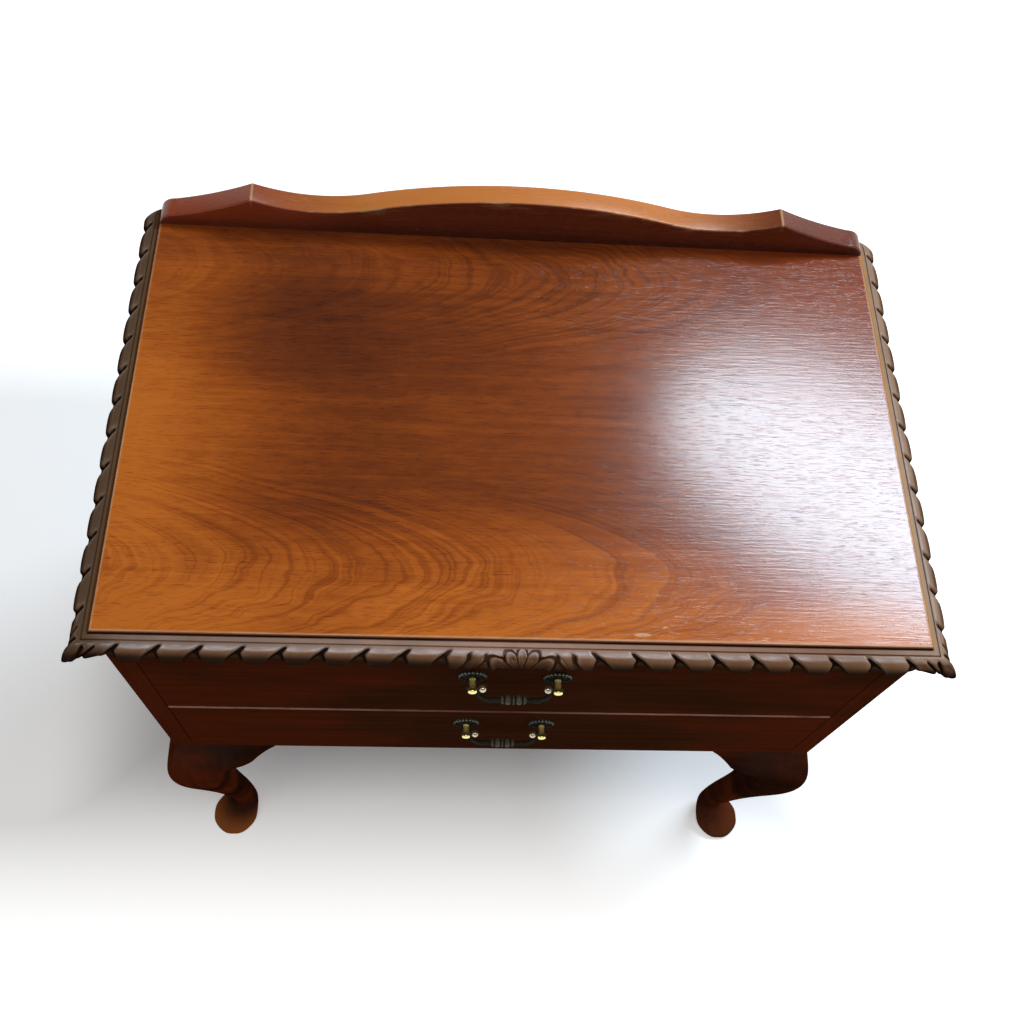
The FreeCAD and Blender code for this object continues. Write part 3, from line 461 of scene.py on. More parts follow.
# Veneer of the top: two halves matched about a joint, each with a cathedral figure
VENEER_JOINT = 7.5 * MM
CATHEDRAL_OFF_JOINT = 132.5 * MM
CATHEDRAL_SHARPNESS = 30 * MM
# Clouds in it: middle, radii, and how much lighter they are
VENEER_CLOUDS = (
    ((0.0, -0.175), (0.27, 0.095), 0.34), ((-0.12, 0.075), (0.16, 0.06), -0.12),
    ((-0.185, 0.075), (0.09, 0.06), -0.14), ((-0.15, -0.03), (0.08, 0.06), -0.05))
# Chips behind its front edge: middle, radii, and the noise at which a chip starts and is bare
VENEER_CHIPS = (
    ((0.085, -0.1705), (0.006, 0.0015), 0.45, 0.56), ((0.102, -0.1655), (0.0022, 0.0018), 0.40, 0.54))


def blob(x, y, centre, radii):
    """1 in the middle of an oval on the top, 0 outside it, soft between."""
    return (((x - centre[0]) / radii[0]) ** 2 + ((y - centre[1]) / radii[1]) ** 2).step(1.5, 0.15)


def veneer(colours):
    """Book-matched figured veneer.

    Figure lines are level sets of x + d * d / sharpness, where d is the distance from the axis of a
    half's cathedral, shaken by noise; pores run along X; broad clouds set the tone.
    """
    finish = Finish("Figured veneer")
    x, y, z = finish.place()
    slow = finish.noise(x / 0.06, y / 0.035, z) - 0.5
    quick = finish.noise(x / 0.016, y / 0.006, z) - 0.5
    half = y - VENEER_JOINT
    off_axis = abs(half) - CATHEDRAL_OFF_JOINT + slow * 0.02
    phase = x + off_axis * off_axis / CATHEDRAL_SHARPNESS + slow * 0.04 + quick * 0.005
    side = half.sign() * 3.7
    bands = finish.noise(phase / 0.020, off_axis / 0.25, side, 1.0)
    rings = finish.noise(phase / 0.0055, off_axis / 0.12, side + 9, 2.0, 0.6)
    line = rings.step(0.56, 0.34)
    faint = half.step(-1 * MM, 1 * MM) * x.step(0.02, -0.12) * 0.75
    near = abs(off_axis).step(0.105, 0.030) * (1 - faint) * x.step(0.26, 0.12)
    fibre, pore = grain(finish, (x, y, z), X, 1.1 * MM)

    # Broad clouds, shaken so that they have no outline
    wide = finish.noise(x / 0.13, y / 0.07, z) - 0.5
    cx, cy = x + wide * 0.09, y + wide * 0.05
    level = 0.49 + cx.step(-0.13, -0.28) * 0.42 + wide * 0.18
    for middle, radii, lighter in VENEER_CLOUDS:
        level = level + blob(cx, cy, middle, radii) * lighter
    level = level + x.step(-0.24, -0.29) * y.step(0.06, -0.02) * 0.11
    level = level + (y.step(-0.115, -0.15) * 0.07 + y.step(-0.15, -0.18) * 0.12) * x.step(-0.16, -0.06)
    corner = blob(cx, cy, (0.27, -0.18), (0.11, 0.045))
    level = level + corner * 0.24
    # Painted shade: darker along the foot of the gallery, more at the left
    level = level - y.step(0.13, 0.17) * (0.05 + x.step(-0.12, -0.24) * 0.14)
    level = level - y.step(0.05, 0.13) * x.step(-0.12, -0.20) * 0.14
    level = level + (bands - 0.5) * (near * 0.22 + 0.09) - line * (near * 0.14 + 0.03)
    level = level + (fibre - 0.5) * 0.44 + quick * 0.20 - pore * 0.24
    tone = finish.ramp(level, [
        (0.0, colours.veneer_dark), (0.38, colours.veneer_brown),
        (0.68, colours.veneer_orange), (1.0, colours.veneer_light)])
    tone = finish.mix(cx.step(0.08, 0.26) * (1 - corner * 0.8) * 0.40, tone, VENEER_RED)

    # Wear at the rim, on the upper face only
    low, high = (corner.tolist() for corner in extent("top_panel"))
    rim = (high[0] - abs(x)).least(y - low[1])
    chip = finish.noise(x / 0.016, y / 0.012, z, 3.0, 0.7)
    face = z.step(high[2] - 0.4 * MM, high[2] - 0.1 * MM)
    worn = (rim - chip * 0.0016).step(0.0009, 0.0001) * (0.45 + chip.step(0.35, 0.60) * 0.4)
    worn = worn * (1 - y.step(0.0, 0.08) * 0.7)
    for middle, radii, start, bare in VENEER_CHIPS:
        worn = worn.most(blob(x, y, middle, radii) * chip.step(start, bare))
    worn = worn * face
    rolled = rim.step(2.6 * MM, 1.2 * MM) * face
    tone = finish.mix(rolled * 0.35, tone, VENEER_RIM)
    tone = finish.mix(worn, finish.mix(face, colours.veneer_brown, tone), colours.worn)
    ripple = finish.noise(x / 0.030, y / (2.0 * MM), z, 2.0, 0.6)
    finish.bump(ripple * 0.8 - pore * 0.2, 0.085 * MM)
    dull = (fibre - 0.5) * 0.06 + pore * 0.03 + worn.most(rolled) * 0.3
    return finish.done(Base_Color=tone, Roughness=0.165 + dull, IOR=1.55)


def carved_wood(colours):
    """Stained carving: a painted grey sheen and a painted highlight line above, brown below, darker towards
    the underside as painted shade, dark in the hollows from soiling and painted shade.

    A line beside the panel at the sides is dark on the left and pale orange on the right.
    """
    finish = Finish("Carved stain")
    x, y, z = finish.place()
    hollow, crest, down = (finish.field(name) for name in ("hollow", "crest", "down"))
    patch = finish.noise(x / 0.02, y / 0.02, z / 0.012, 3.0, 0.6)
    fine = finish.noise(x / 0.0015, y / 0.0015, z / 0.0015)
    # Painted reflection: the upper side of the carving is a grey sheen that stands in for the room mirrored
    # in it
    painted_sheen = finish.ramp(x / 0.62 + 0.5, CARVING_PAINTED_SHEEN)
    brown = finish.shade(colours.moulding, 1 - abs(x).step(0.27, 0.30) * 0.4)
    tone = finish.mix(down.step(0.26, 0.50), painted_sheen, brown)
    tone = finish.shade(tone, 0.74 + patch * 0.52)
    # Painted highlight: a pale line along the upper ovolo, where the lamp is mirrored
    line = down.step(0.06, 0.20) * down.step(0.38, 0.24)
    line = line * abs(x).step(0.305, 0.27)
    tone = finish.mix(line * (0.25 + patch.step(0.40, 0.65) * 0.45), tone, CARVING_HIGHLIGHT_LINE)
    # Raised crests are paler: wear, and a painted highlight on the lit edges of lobes and petals
    tone = finish.mix(crest * (0.16 + patch.step(0.45, 0.65) * 0.30), tone, CARVING_CREST)
    # Darker towards the underside and more on the left: painted shade where the ovolo turns under; the
    # hollows are darkened as dirt and as painted shade.
    lower = down + x.step(0.0, -0.15) * 0.15
    shade_and_dirt = hollow.step(0.08, 0.7).most(lower.step(0.55, 0.95) * 0.85)
    tone = finish.mix(shade_and_dirt * (0.94 - abs(x).step(0.062, 0.045) * 0.20), tone, colours.moulding_shade_and_dirt)
    low, high = extent("top_panel")
    beside = abs(x) - float(high[0])
    beside = beside.step(3.0 * MM, 2.0 * MM) * beside.step(0.0, 0.3 * MM)
    beside = beside * (y - float(low[1])).step(0.0, 1 * MM)
    tone = finish.mix(beside, tone, finish.mix(x.step(-0.1, 0.1), *JOINT_LINE_TONES))
    finish.bump(fine * 0.5 + patch * 0.5, 0.15 * MM)
    gloss = down.step(0.02, 0.10) * down.step(0.46, 0.26) * (1 - x.step(0.27, 0.30) * 0.85)
    return finish.done(
        Base_Color=tone, Roughness=0.5, Specular_IOR_Level=0.0,
        Coat_Weight=(1 - shade_and_dirt) * finish.face_on() * (0.12 + gloss * 0.88), Coat_Roughness=0.22)


def gallery_wood(colours):
    """Red-brown lacquer with its grain along X: pale on the front arris and cusps, lighter at the left end
    as a painted reflection, with a painted highlight on the upper edge and painted shade at its foot.
    """
    finish = Finish("Gallery lacquer")
    x, y, z = finish.place()
    arris, edge = (finish.field(name) for name in ("arris", "edge"))
    value, pore = grain(finish, (x, y, z), X, 1.8 * MM)
    # Painted reflection: the left end of the gallery is lightened
    tone = finish.shade(colours.gallery, 1 + (value - 0.5) * 0.9 - pore * 0.2 + (-x).step(0.13, 0.19) * 0.9)
    joint = float(extent("top_panel")[1][2])
    # Painted shade: darker towards the foot of the gallery, except on its upper edge
    painted_foot_shade = z.step(joint + 16 * MM, joint + 1 * MM) * (1 - edge)
    tone = finish.shade(tone, 1 - painted_foot_shade * 0.5)
    # Painted highlight: the middle of the upper edge is lightened to orange where light falls on it
    painted_top_light = edge * abs(x).step(0.24, 0.10)
    tone = finish.mix((painted_top_light * (0.7 + value * 0.6)).least(1.0), tone, colours.gallery_lit_edge)
    rubbed = finish.noise(x / 0.05, y / 0.01, z / 0.01, 4.0, 0.7)
    rubbed = arris * rubbed.step(0.5, 0.66) * abs(x).step(0.21, 0.18)
    cusp = float(extent("back_gallery")[1][0]) - CUSP_INSET
    ridge = abs(abs(x) - cusp).step(1.5 * MM, 0.4 * MM) * edge.most(arris)
    tone = finish.mix(rubbed.most(ridge * 0.8), tone, colours.worn)
    finish.bump(value * 0.3 - pore * 0.7, 0.10 * MM)
    return finish.done(Base_Color=tone, Roughness=0.28 + (value - 0.5) * 0.1)


def metal(name, dark, rubbed, roughness, bare=1.0, field=None, gloss=0.0):
    """Metal that is dark and dull where it is sheltered and polished where hands reach.

    bare is the share of metal under the dull parts; the polished parts are all metal. gloss is a clear
    lacquer, strongest face on.
    """
    finish = Finish(name)
    x, y, z = finish.place()
    patch = finish.noise(x / 0.004, y / 0.004, z / 0.004, 3.0, 0.6)
    share = patch.step(0.35, 0.75) * 0.5
    if field:
        share = (finish.field(field) * (0.6 + patch * 0.8)).least(1.0)
    tone = finish.mix(share, dark, rubbed)
    finish.bump(patch, 0.06 * MM)
    coat = {}
    if gloss:
        coat = {"Coat_Weight": finish.face_on() * gloss, "Coat_Roughness": 0.10}
    return finish.done(
        Base_Color=tone, Metallic=share * (1 - bare) + bare if bare < 1 else 1.0, Specular_IOR_Level=0.0,
        Roughness=roughness + patch * 0.12 - share * 0.08, **coat)


# Carved mouldings

BAND_ROWS = 6
OVOLO_ROWS = 56
FRONT_STEP = 0.55 * MM
SIDE_STEP = 0.7 * MM
# Direction across a moulding's face, out and a little down, along which the carving is laid out
OUT_AND_DOWN = (0.947, -0.32)
# How far the ovolo's belly stands out, the height of its face, and half of the front's middle carving
BELLY = 12 * MM
FACE_HEIGHT = 13.5 * MM
CENTRE_HALF = 49.5 * MM
MITRE_REACH = 16 * MM
BLUR_PASSES = 30
# Points of the section at the joint with the panel, which are darkened as a hollow
BESIDE_PANEL = 3
# Relief under and over its surroundings that counts as a full hollow and a full crest
FULL_HOLLOW = 0.9 * MM
FULL_CREST = 0.6 * MM


def moulding_section():
    """Section of a moulding as points of (out from the panel, down from its top surface).

    Returns the points, their outward normals on the ovolo, and how far down the ovolo they lie:
    0 at its top, 1 where it turns under, more on its underside, below 0 before the ovolo.
    """
    panel_low, panel_high = extent("top_panel")
    low, high = extent("rope_moulding_front")
    projection = panel_low[1] - low[1]
    step = panel_high[2] - high[2]
    thick = panel_high[2] - low[2]
    band, quirk_width, quirk_depth, drop, foot = 4.5 * MM, 1 * MM, 1.4 * MM, 0.5 * MM, 9.5 * MM
    start = (band + quirk_width, -step - drop)
    belly = (projection, -(thick + step) / 2)
    ovolo, centre = arc_through(start, belly, (foot, -thick), OVOLO_ROWS)
    ease = 0.5 * MM
    flat = np.stack([np.linspace(ease, band - ease / 2, BAND_ROWS), np.full(BAND_ROWS, -step)], axis=-1)
    quirk = [(band, -step - ease / 2), (band, -step - quirk_depth), (start[0], -step - quirk_depth)]
    before = np.concatenate([[(0, -thick), (0, -step - ease)], flat, quirk])
    after = np.array([(foot / 2, -thick), (0, -thick)])
    points = np.concatenate([before, ovolo, after])
    normals = np.zeros_like(points)
    on = slice(len(before), len(before) + OVOLO_ROWS)
    normals[on] = (ovolo - centre) / np.linalg.norm(ovolo - centre, axis=1)[:, None]
    fall = (ovolo - ovolo[0]) @ OUT_AND_DOWN
    turn = fall.argmax()
    down = np.concatenate([np.full(len(before), -1.0), np.full(len(ovolo) + len(after), 2.0)])
    down[on] = fall / fall[turn]
    down[on][turn:] = 2 - down[on][turn:]
    return points, normals, down


def groove(off, narrow, wide):
    """Cut of a groove from 0 to 1: steep where off is negative, gentle where it is positive."""
    width = np.where(off < 0, narrow, wide)
    share = np.clip(1 - np.abs(off) / width, 0, 1)
    return share ** np.where(off < 0, 0.8, 1.5)


def rope(reach, down, sizes, count, share=1.0):
    """Relief of the rope: at each pitch from the mitre a wedge that leans, opens and deepens downwards.

    reach is the distance from the mitre, down how far down the ovolo. A wedge stays narrow to the middle,
    beside the round end of a lobe, and then opens; between wedges the lobes swell. share scales it all.
    """
    leaned = reach + sizes.lean * down - sizes.first
    nearest = np.clip(np.floor(leaned / sizes.pitch + 0.1), 0, count)
    off = leaned - nearest * sizes.pitch
    gap = sizes.gap * (0.10 + 0.35 * np.minimum(down, 1.3) + 0.65 * smooth(down, 0.45, 1.05))
    cut = smooth(off, -sizes.wall, 0.2 * sizes.wall) * smooth(off, gap + sizes.wall, gap)
    depth = sizes.depth * smooth(down, -0.02, 0.30) * (1 - 0.7 * smooth(down, 0.65, 1.05))
    into = np.clip((off - gap) / (sizes.pitch - gap), 0, 1)
    swell = sizes.swell * (np.sqrt(np.clip(4 * into * (1 - into), 0, 1)) - 0.6) * smooth(down, 0.1, 0.6)
    return share * (swell * (off < sizes.pitch) - depth * cut)


def corner_leaf(reach, down, sizes):
    """Relief of the leaf at a mitre: veins that run to its tip, a drawn-out tip and a hollow lower edge."""
    leaf = smooth(sizes.first - reach - sizes.lean * down, 0, 2 * MM)
    relief = np.zeros_like(reach)
    for start in (0.30, 0.62):
        vein = reach - start * sizes.first * (1 - 0.8 * down)
        relief -= 2.2 * MM * groove(vein, 1.2 * MM, 4.2 * MM) * smooth(down, 0.08, 0.4)
    tip = np.clip(1 - reach / (11 * MM), 0, 1) ** 1.6 * bell(down, 0.9, 0.45)
    hollow = bell(reach, 17 * MM, 7 * MM) * smooth(down, 0.75, 1.15)
    return leaf * relief + 2.4 * MM * tip - 3.6 * MM * hollow


# Petals of the shell: angle from upright, half angle, length, about a root below the moulding's edge
SHELL_ROOT = 6 * MM
SHELL_PETALS = ((0, 15, 20.3), (-31, 17, 20.5), (31, 17, 20.5), (-63, 15, 26), (63, 15, 26))


def shell(across, rise):
    """Relief of the shell, and 1 on it and its dark outline.

    Five scooped petals with raised rims and a rib fan out from their root: a petal's length falls with
    the square of the angle from its middle.
    """
    radius = np.hypot(across, rise + SHELL_ROOT)
    angle = np.degrees(np.arctan2(across, rise + SHELL_ROOT))
    relief = np.full_like(across, -1.6 * MM)
    share = np.zeros_like(across)
    for middle, half, reach in SHELL_PETALS:
        turn = (angle - middle) / half
        off = np.clip(turn, -1, 1)
        outer = reach * MM * (1 - 0.30 * off ** 2)
        inside = np.clip(1 - radius / outer, 0, 1)
        dome = (1 - off ** 6) * smooth(inside, 0, 0.07) * smooth(rise, -1.5 * MM, 0.5 * MM)
        scoop = (1 - off ** 2) * smooth(inside, 0.08, 0.30)
        rib = bell(off, 0, 0.20) * smooth(inside, 0.15, 0.35)
        relief = np.maximum(relief, MM * (-1.6 + 3.8 * dome - 2.2 * scoop + 0.8 * rib))
        share = np.maximum(share, smooth(radius / outer, 1.16, 1.05) * smooth(np.abs(turn), 1.3, 1.1))
    return relief, share


def centre_carving(across, down, rise):
    """Relief at the middle of the front: either side of the shell a leaf of two curled flutes."""
    reach = np.abs(across)
    curl = down + 0.16 * np.sin(2 * np.pi * np.clip(down, 0, 1))
    leaves = np.zeros_like(across)
    for start, width, depth in ((19, 5.0, 2.6), (31, 8.0, 4.2)):
        off = start * MM + 13 * MM * curl - reach
        leaves -= depth * MM * groove(off, 1.6 * MM, width * MM) * smooth(down, 0.06, 0.45)
    leaves += 0.6 * MM * smooth(down, 0.1, 0.4)
    return leaves, *shell(across, rise)


def carved_run(section, along, mitred_end, relief):
    """Points of a moulding run, before it is turned to its edge of the top.

    Each row is the section at one place along the run. Its start is mitred, and its end where mitred_end
    is 1: a mitre runs out with the section. Relief moves the ovolo along its normal; near a mitre it
    moves along the run too, so that ends meet.
    """
    points, normals, down = section
    out, drop = points[:, 0], points[:, 1]
    first = along[0] - out
    last = along[-1] + mitred_end * out
    share = (along - along[0]) / (along[-1] - along[0])
    run = first[None, :] + share[:, None] * (last - first)[None, :]
    moved = np.where(down[None, :] >= 0, relief(run, np.maximum(down, 0)[None, :] + 0 * run), 0)
    pushed = moved * normals[None, :, 0]
    drop = drop[None, :] + moved * normals[None, :, 1]
    at_start = smooth(run, along[0] + MITRE_REACH, along[0])
    at_end = mitred_end * smooth(run, along[-1] - MITRE_REACH, along[-1])
    return run + pushed * (at_end - at_start), out[None, :] + pushed, drop, moved


def capped(grid):
    """A grid whose first and last rows are closed by rows gathered at their middles."""
    caps = [np.broadcast_to(row.mean(axis=0), (1, *row.shape)) for row in (grid[0], grid[-1])]
    return np.concatenate([caps[0], grid, caps[1]])


def relief_fields(moved, down):
    """Fields of a run closed at both ends.

    Hollow and crest say how far the relief lies under or over its surroundings, down how far down it is.
    The joint with the panel counts as a hollow.
    """
    around = moved
    for _ in range(BLUR_PASSES):
        for axis in (0, 1):
            around = around / 2 + (np.roll(around, 1, axis) + np.roll(around, -1, axis)) / 4
    over = np.pad(moved - around, ((1, 1), (0, 0)))
    over[:, :BESIDE_PANEL] = -FULL_HOLLOW
    fall = np.broadcast_to(np.maximum(down, 0), over.shape)
    hollow, crest = np.clip(-over / FULL_HOLLOW, 0, 1), np.clip(over / FULL_CREST, 0, 1)
    return {"hollow": hollow, "crest": crest, "down": fall}


def front_moulding(sizes):
    """Front moulding: rope leaning to both corners, a leaf at each corner, a shell in the middle."""
    section = moulding_section()
    panel_low, panel_high = extent("top_panel")
    half = panel_high[0]
    grooves = round((half + BELLY - CENTRE_HALF - sizes.first) / sizes.pitch)

    def relief(run, down):
        reach = np.maximum(half + BELLY - np.abs(run), 0)
        edge = rope(reach, down, sizes, grooves) + corner_leaf(reach, down, sizes)
        leaves, fan, fan_share = centre_carving(run, down, (1 - down) * FACE_HEIGHT)
        middle = smooth(np.abs(run), 58 * MM, 50 * MM)
        under = smooth(down, 1.5, 1.1)
        return edge + under * (middle * leaves * (1 - fan_share) + fan_share * (fan - edge))

    count = int(2 * half / FRONT_STEP)
    run, out, drop, moved = carved_run(section, np.linspace(-half, half, count), 1, relief)
    grid = np.stack([run, panel_low[1] - out, panel_high[2] + drop], axis=-1)
    return surface("carved_moulding_front", [capped(grid)], relief_fields(moved, section[2]))


def side_moulding(sizes, side, name):
    """Side moulding: a leaf at the mitre, rope to the back, and an end rounded in plan."""
    section = moulding_section()
    panel_low, panel_high = extent("top_panel")
    front, back = panel_low[1], panel_high[1]
    grooves = int((back - front) / sizes.pitch)

    def relief(run, down):
        reach = np.maximum(run - front + BELLY, 0)
        fade = smooth(back - run, 2 * MM, 10 * MM)
        return fade * (rope(reach, down, sizes, grooves, sizes.side_share) + corner_leaf(reach, down, sizes))

    count = int((back - front) / SIDE_STEP)
    run, out, drop, moved = carved_run(section, np.linspace(front, back, count), 0, relief)
    into_end = np.clip(1 - (back - run) / sizes.end_round, 0, 1)
    out = out * np.sqrt(1 - into_end ** 2)
    grid = np.stack([side * (panel_high[0] + out), run, panel_high[2] + drop], axis=-1)
    return surface(name, [capped(grid)], relief_fields(moved, section[2]))


# Gallery

# Distance of a cusp from the gallery's end
CUSP_INSET = 78 * MM


def gallery_outline():
    """Upper outline of the gallery from its left heel to its right heel, as (x, z) points."""
    low, high = extent("back_gallery")
    seat = extent("top_panel")[1][2]
    end = high[0]
    radius, half = 478 * MM, 124 * MM
    slope = math.asin(half / radius)
    crest_end = np.array([half, high[2] - radius * (1 - math.cos(slope))])
    cusp = np.array([end - CUSP_INSET, seat + 33 * MM])
    shoulder = np.array([end - 13 * MM, seat + 11 * MM])
    corner = np.array([end, seat])
    sweep = np.linspace(0, slope, 60)
    crest = np.stack([radius * np.sin(sweep), high[2] - radius * (1 - np.cos(sweep))], axis=-1)
    chord = cusp - crest_end
    heading = -slope
    turn = math.atan2(chord[1], chord[0]) - heading
    normal = np.array([-chord[1], chord[0]]) / np.linalg.norm(chord)
    hollow_middle = (crest_end + cusp) / 2 - normal * np.linalg.norm(chord) / 2 * math.tan(turn / 2)
    hollow, _ = arc_through(crest_end, hollow_middle, cusp, 60)
    fall, _ = arc_through(cusp, (cusp + shoulder) / 2 - np.array([0, 2.1 * MM]), shoulder, 40)
    out = np.array([1, 1]) / math.sqrt(2)
    ending, _ = arc_through(shoulder, (shoulder + corner) / 2 + out * 3.2 * MM, corner, 20)
    heel = np.linspace(corner, [end, low[2]], 5)
    right = np.concatenate([crest, hollow[1:], fall[1:], ending[1:], heel[1:]])
    left = right[:0:-1] * [-1, 1]
    return np.concatenate([left, right])


def gallery(arris=1.6 * MM):
    """Gallery board: its section is carried along the outline, with rounded upper arrises.

    A section goes up the front face, round the front arris, over the edge, round the back arris
    and down the back face; on the faces it stands straight under its place on the outline.
    """
    outline = gallery_outline()
    low, high = extent("back_gallery")
    tangent = tangents(outline)
    normal = np.stack([-tangent[:, 1], tangent[:, 0]], axis=-1)
    turn = np.linspace(0, np.pi / 2, 6)
    inset = arris * (1 - np.sin(turn))
    back_of = arris * (1 - np.cos(turn))
    inset = np.concatenate([inset, inset[::-1]])
    depth = np.concatenate([low[1] + back_of, high[1] - back_of[::-1]])
    edge = outline[:, None, :] - normal[:, None, :] * inset[None, :, None]
    edge[..., 1] = np.maximum(edge[..., 1], low[2])
    over = np.stack([edge[..., 0], np.broadcast_to(depth, edge.shape[:2]), edge[..., 1]], axis=-1)
    face = edge[:, 0]
    share = np.linspace(0, 1, 6)[:-1]
    height = low[2] + share[None, :] * (face[:, 1:] - low[2])
    width = np.broadcast_to(face[:, :1], height.shape)
    front, back = (np.stack([width, np.full_like(height, y), height], axis=-1) for y in (low[1], high[1]))
    grid = np.concatenate([front, over, back[:, ::-1], front[:, :1]], axis=1)
    plain = np.zeros(share.size)
    rubbed = np.concatenate([plain, bell(turn, 0.6, 0.6), np.zeros(turn.size), plain, [0]])
    upper = np.concatenate([plain, smooth(turn, 0.3, 1.3), np.ones(turn.size), plain, [0]])
    rubbed, upper = (np.broadcast_to(values, grid.shape[:2]) for values in (rubbed, upper))
    return surface("gallery_board", [grid], {"arris": rubbed, "edge": upper})


# Legs

LEG_ROWS = 110
LEG_COLUMNS = 81
# Control rings of a shaft: share of its height, sway, size and corner rounding
SHAFT_RINGS = [
    (1.0, 0.0, 1.0, 0.27), (0.94, 0.34, 1.27, 0.55), (0.852, 0.87, 1.31, 0.82), (0.745, 1.0, 0.98, 1.0),
    (0.634, 0.83, 0.74, 1.0), (0.517, 0.50, 0.50, 1.0), (0.40, 0.19, 0.29, 1.0), (0.289, -0.14, 0.17, 1.0),
    (0.188, -0.55, 0.10, 1.0), (0.10, -0.84, 0.05, 1.0), (0.04, -0.94, 0.03, 1.0), (0.0, -0.80, 0.08, 1.0),
]
# Control rings of a foot: share of its height, lean and size
FOOT_RINGS = [
    (0.78, 0.20, 0.65), (0.56, 0.50, 0.82), (0.31, 0.76, 0.94), (0.11, 0.95, 1.0), (0.0, 1.0, 0.89),
]


def control_ring(outer, inner, radius, height):
    """Sixteen control points of a rounded square from inner to outer on both axes."""
    centre, half = (outer + inner) / 2, (outer - inner) / 2
    beside, corner = half - 0.65 * radius, half - 0.277 * radius
    quarter = np.array([(half, 0), (half, beside), (corner, corner), (beside, half)])
    turn = np.array([[0, 1], [-1, 0]])
    ring = np.concatenate([quarter @ np.linalg.matrix_power(turn, times) for times in range(4)])
    return np.column_stack([ring + centre, np.full(len(ring), height)])


def leg_rings(height):
    """Control rings of a leg in its corner's frame, from its square top to its sole."""
    knee, ankle, inset, top, corner = 19 * MM, 22.5 * MM, 9 * MM, 50 * MM, 11 * MM
    foot, pad, pad_inset = 36 * MM, 25 * MM, 4.5 * MM
    rings = []
    for share, sway, size, rounding in SHAFT_RINGS:
        outer = sway * (knee if sway > 0 else inset)
        inner = outer - ankle - size * (top - ankle)
        rings.append(control_ring(outer, inner, rounding * corner, foot + share * (height - foot)))
    middle = -inset - ankle / 2
    for share, lean, size in FOOT_RINGS:
        centre, radius = middle + lean * (-pad_inset - middle), size * pad
        rings.append(control_ring(centre + radius, centre - radius, radius, share * foot))
    return np.array(rings)


def clamped_weights(count, places):
    """Weights of a clamped cubic spline's control points at places from 0 to count - 3."""
    knots = np.concatenate([np.zeros(3), np.arange(count - 2), np.full(3, count - 3)])
    t = np.minimum(places, count - 3 - 1e-9)[:, None]
    weights = ((t >= knots[:-1]) & (t < knots[1:])).astype(float)
    for degree in (1, 2, 3):
        rise = np.maximum(knots[degree:-1] - knots[:-degree - 1], 1e-12)
        fall = np.maximum(knots[degree + 1:] - knots[1:-degree], 1e-12)
        weights = (
            (t - knots[:-degree - 1]) / rise * weights[:, :-1]
            + (knots[degree + 1:] - t) / fall * weights[:, 1:])
    return weights


def closed_weights(count, places):
    """Weights of a closed cubic spline's control points at places from 0 to count."""
    off = (places[:, None] - np.arange(count)[None, :] + count / 2) % count - count / 2
    far = np.abs(off)
    inner = (4 - 6 * far ** 2 + 3 * far ** 3) / 6
    outer = np.clip(2 - far, 0, None) ** 3 / 6
    return np.where(far < 1, inner, outer)


def leg(name, side, end):
    """Cabriole leg: a cubic spline skin over the control rings, closed by a flat top and sole."""
    rings = leg_rings(extent(name)[1][2])
    spans, sides = len(rings) - 3, rings.shape[1]
    down = clamped_weights(len(rings), np.linspace(0, spans, LEG_ROWS))
    around = closed_weights(sides, np.linspace(0, sides, LEG_COLUMNS))
    skin = np.einsum("ri,cj,ijk->rck", down, around, rings)
    corner = extent("side_panel_right")[1] * [1, 1, 0]
    grid = capped(skin + corner) * [side, end, 1]
    return surface(name + "_turned", [grid])


# Handles

POST_HEAD = 4.2 * MM
PIN_RADIUS = 1.5 * MM
PIN_HEIGHT = 10 * MM
BALL_RADIUS = 3 * MM
BALL_GAP = 0.4 * MM
# Post, as radii and distances from the drawer front in millimetres
POST_PROFILE = [
    (0, 14), (1.4, 13.95), (2.5, 13.75), (3.2, 13.3), (3.5, 12.6), (3.4, 11.8), (3.1, 10.8), (2.8, 9.8),
    (2.55, 8.6), (2.35, 7.4), (2.25, 6.2), (2.2, 5.0), (2.2, 4.2), (2.3, 3.8), (2.5, 3.5), (2.6, 3.1),
    (2.6, 2.5), (2, 2.5), (2, -23.5), (0, -23.5),
]
# Rings of a bail's knop: distance from its middle, half width and radius in millimetres
KNOP_RINGS = ((0, 0.9, 3.7), (4.2, 2.3, 3.9), (8.4, 1.1, 3.4))
# How brightly balls and pins are rubbed
BALL_RUBBED = 0.85
PIN_RUBBED = 0.05


def rosette(centre, sizes, radius, thickness):
    """Cast rosette: a beaded rim round a ring of petals, on a flat back.

    Points are a radius and an angle; the face stands off the drawer front by beads that follow the
    sine of the angle on the rim and by petals that follow its cosine inside.
    """
    angle = np.linspace(0, 2 * np.pi, 12 * sizes.beads + 1)[:, None]
    share = np.linspace(0, 1, 40)[None, :]
    bead = np.abs(np.sin(sizes.beads * angle / 2)) ** 0.6
    outer = radius * (0.95 + 0.05 * bead)
    rim = np.sqrt(np.clip(1 - ((share - 0.88) / 0.12) ** 2, 0, 1))
    petal = np.abs(np.cos(sizes.petals * angle / 2)) ** 0.7
    lobe = np.sin(np.pi * np.clip((share - 0.36) / 0.40, 0, 1))
    boss = 1 - smooth(share, 0.34, 0.44)
    height = thickness * (0.34 + 0.66 * boss + 0.42 * lobe * petal + 0.52 * rim * bead)
    height = height * (share < 1)
    # Rubbed on the bead tops and petals, much more on the upper half: that upper bias is a painted highlight
    # of light from above
    upper = smooth(np.sin(angle), -0.2, 0.7)
    rubbed = (rim ** 2 * bead ** 3 + 0.15 * lobe * petal) * (0.05 + 0.50 * upper)
    reach = outer * share
    face = [np.cos(angle) * reach, -height + 0 * reach, np.sin(angle) * reach]
    front = np.stack(face, axis=-1) + centre
    back = np.broadcast_to(centre, (angle.size, 1, 3))
    grid = np.concatenate([front, back], axis=1)
    field = np.concatenate([np.broadcast_to(rubbed, reach.shape), np.zeros((angle.size, 1))], axis=1)
    return grid, field


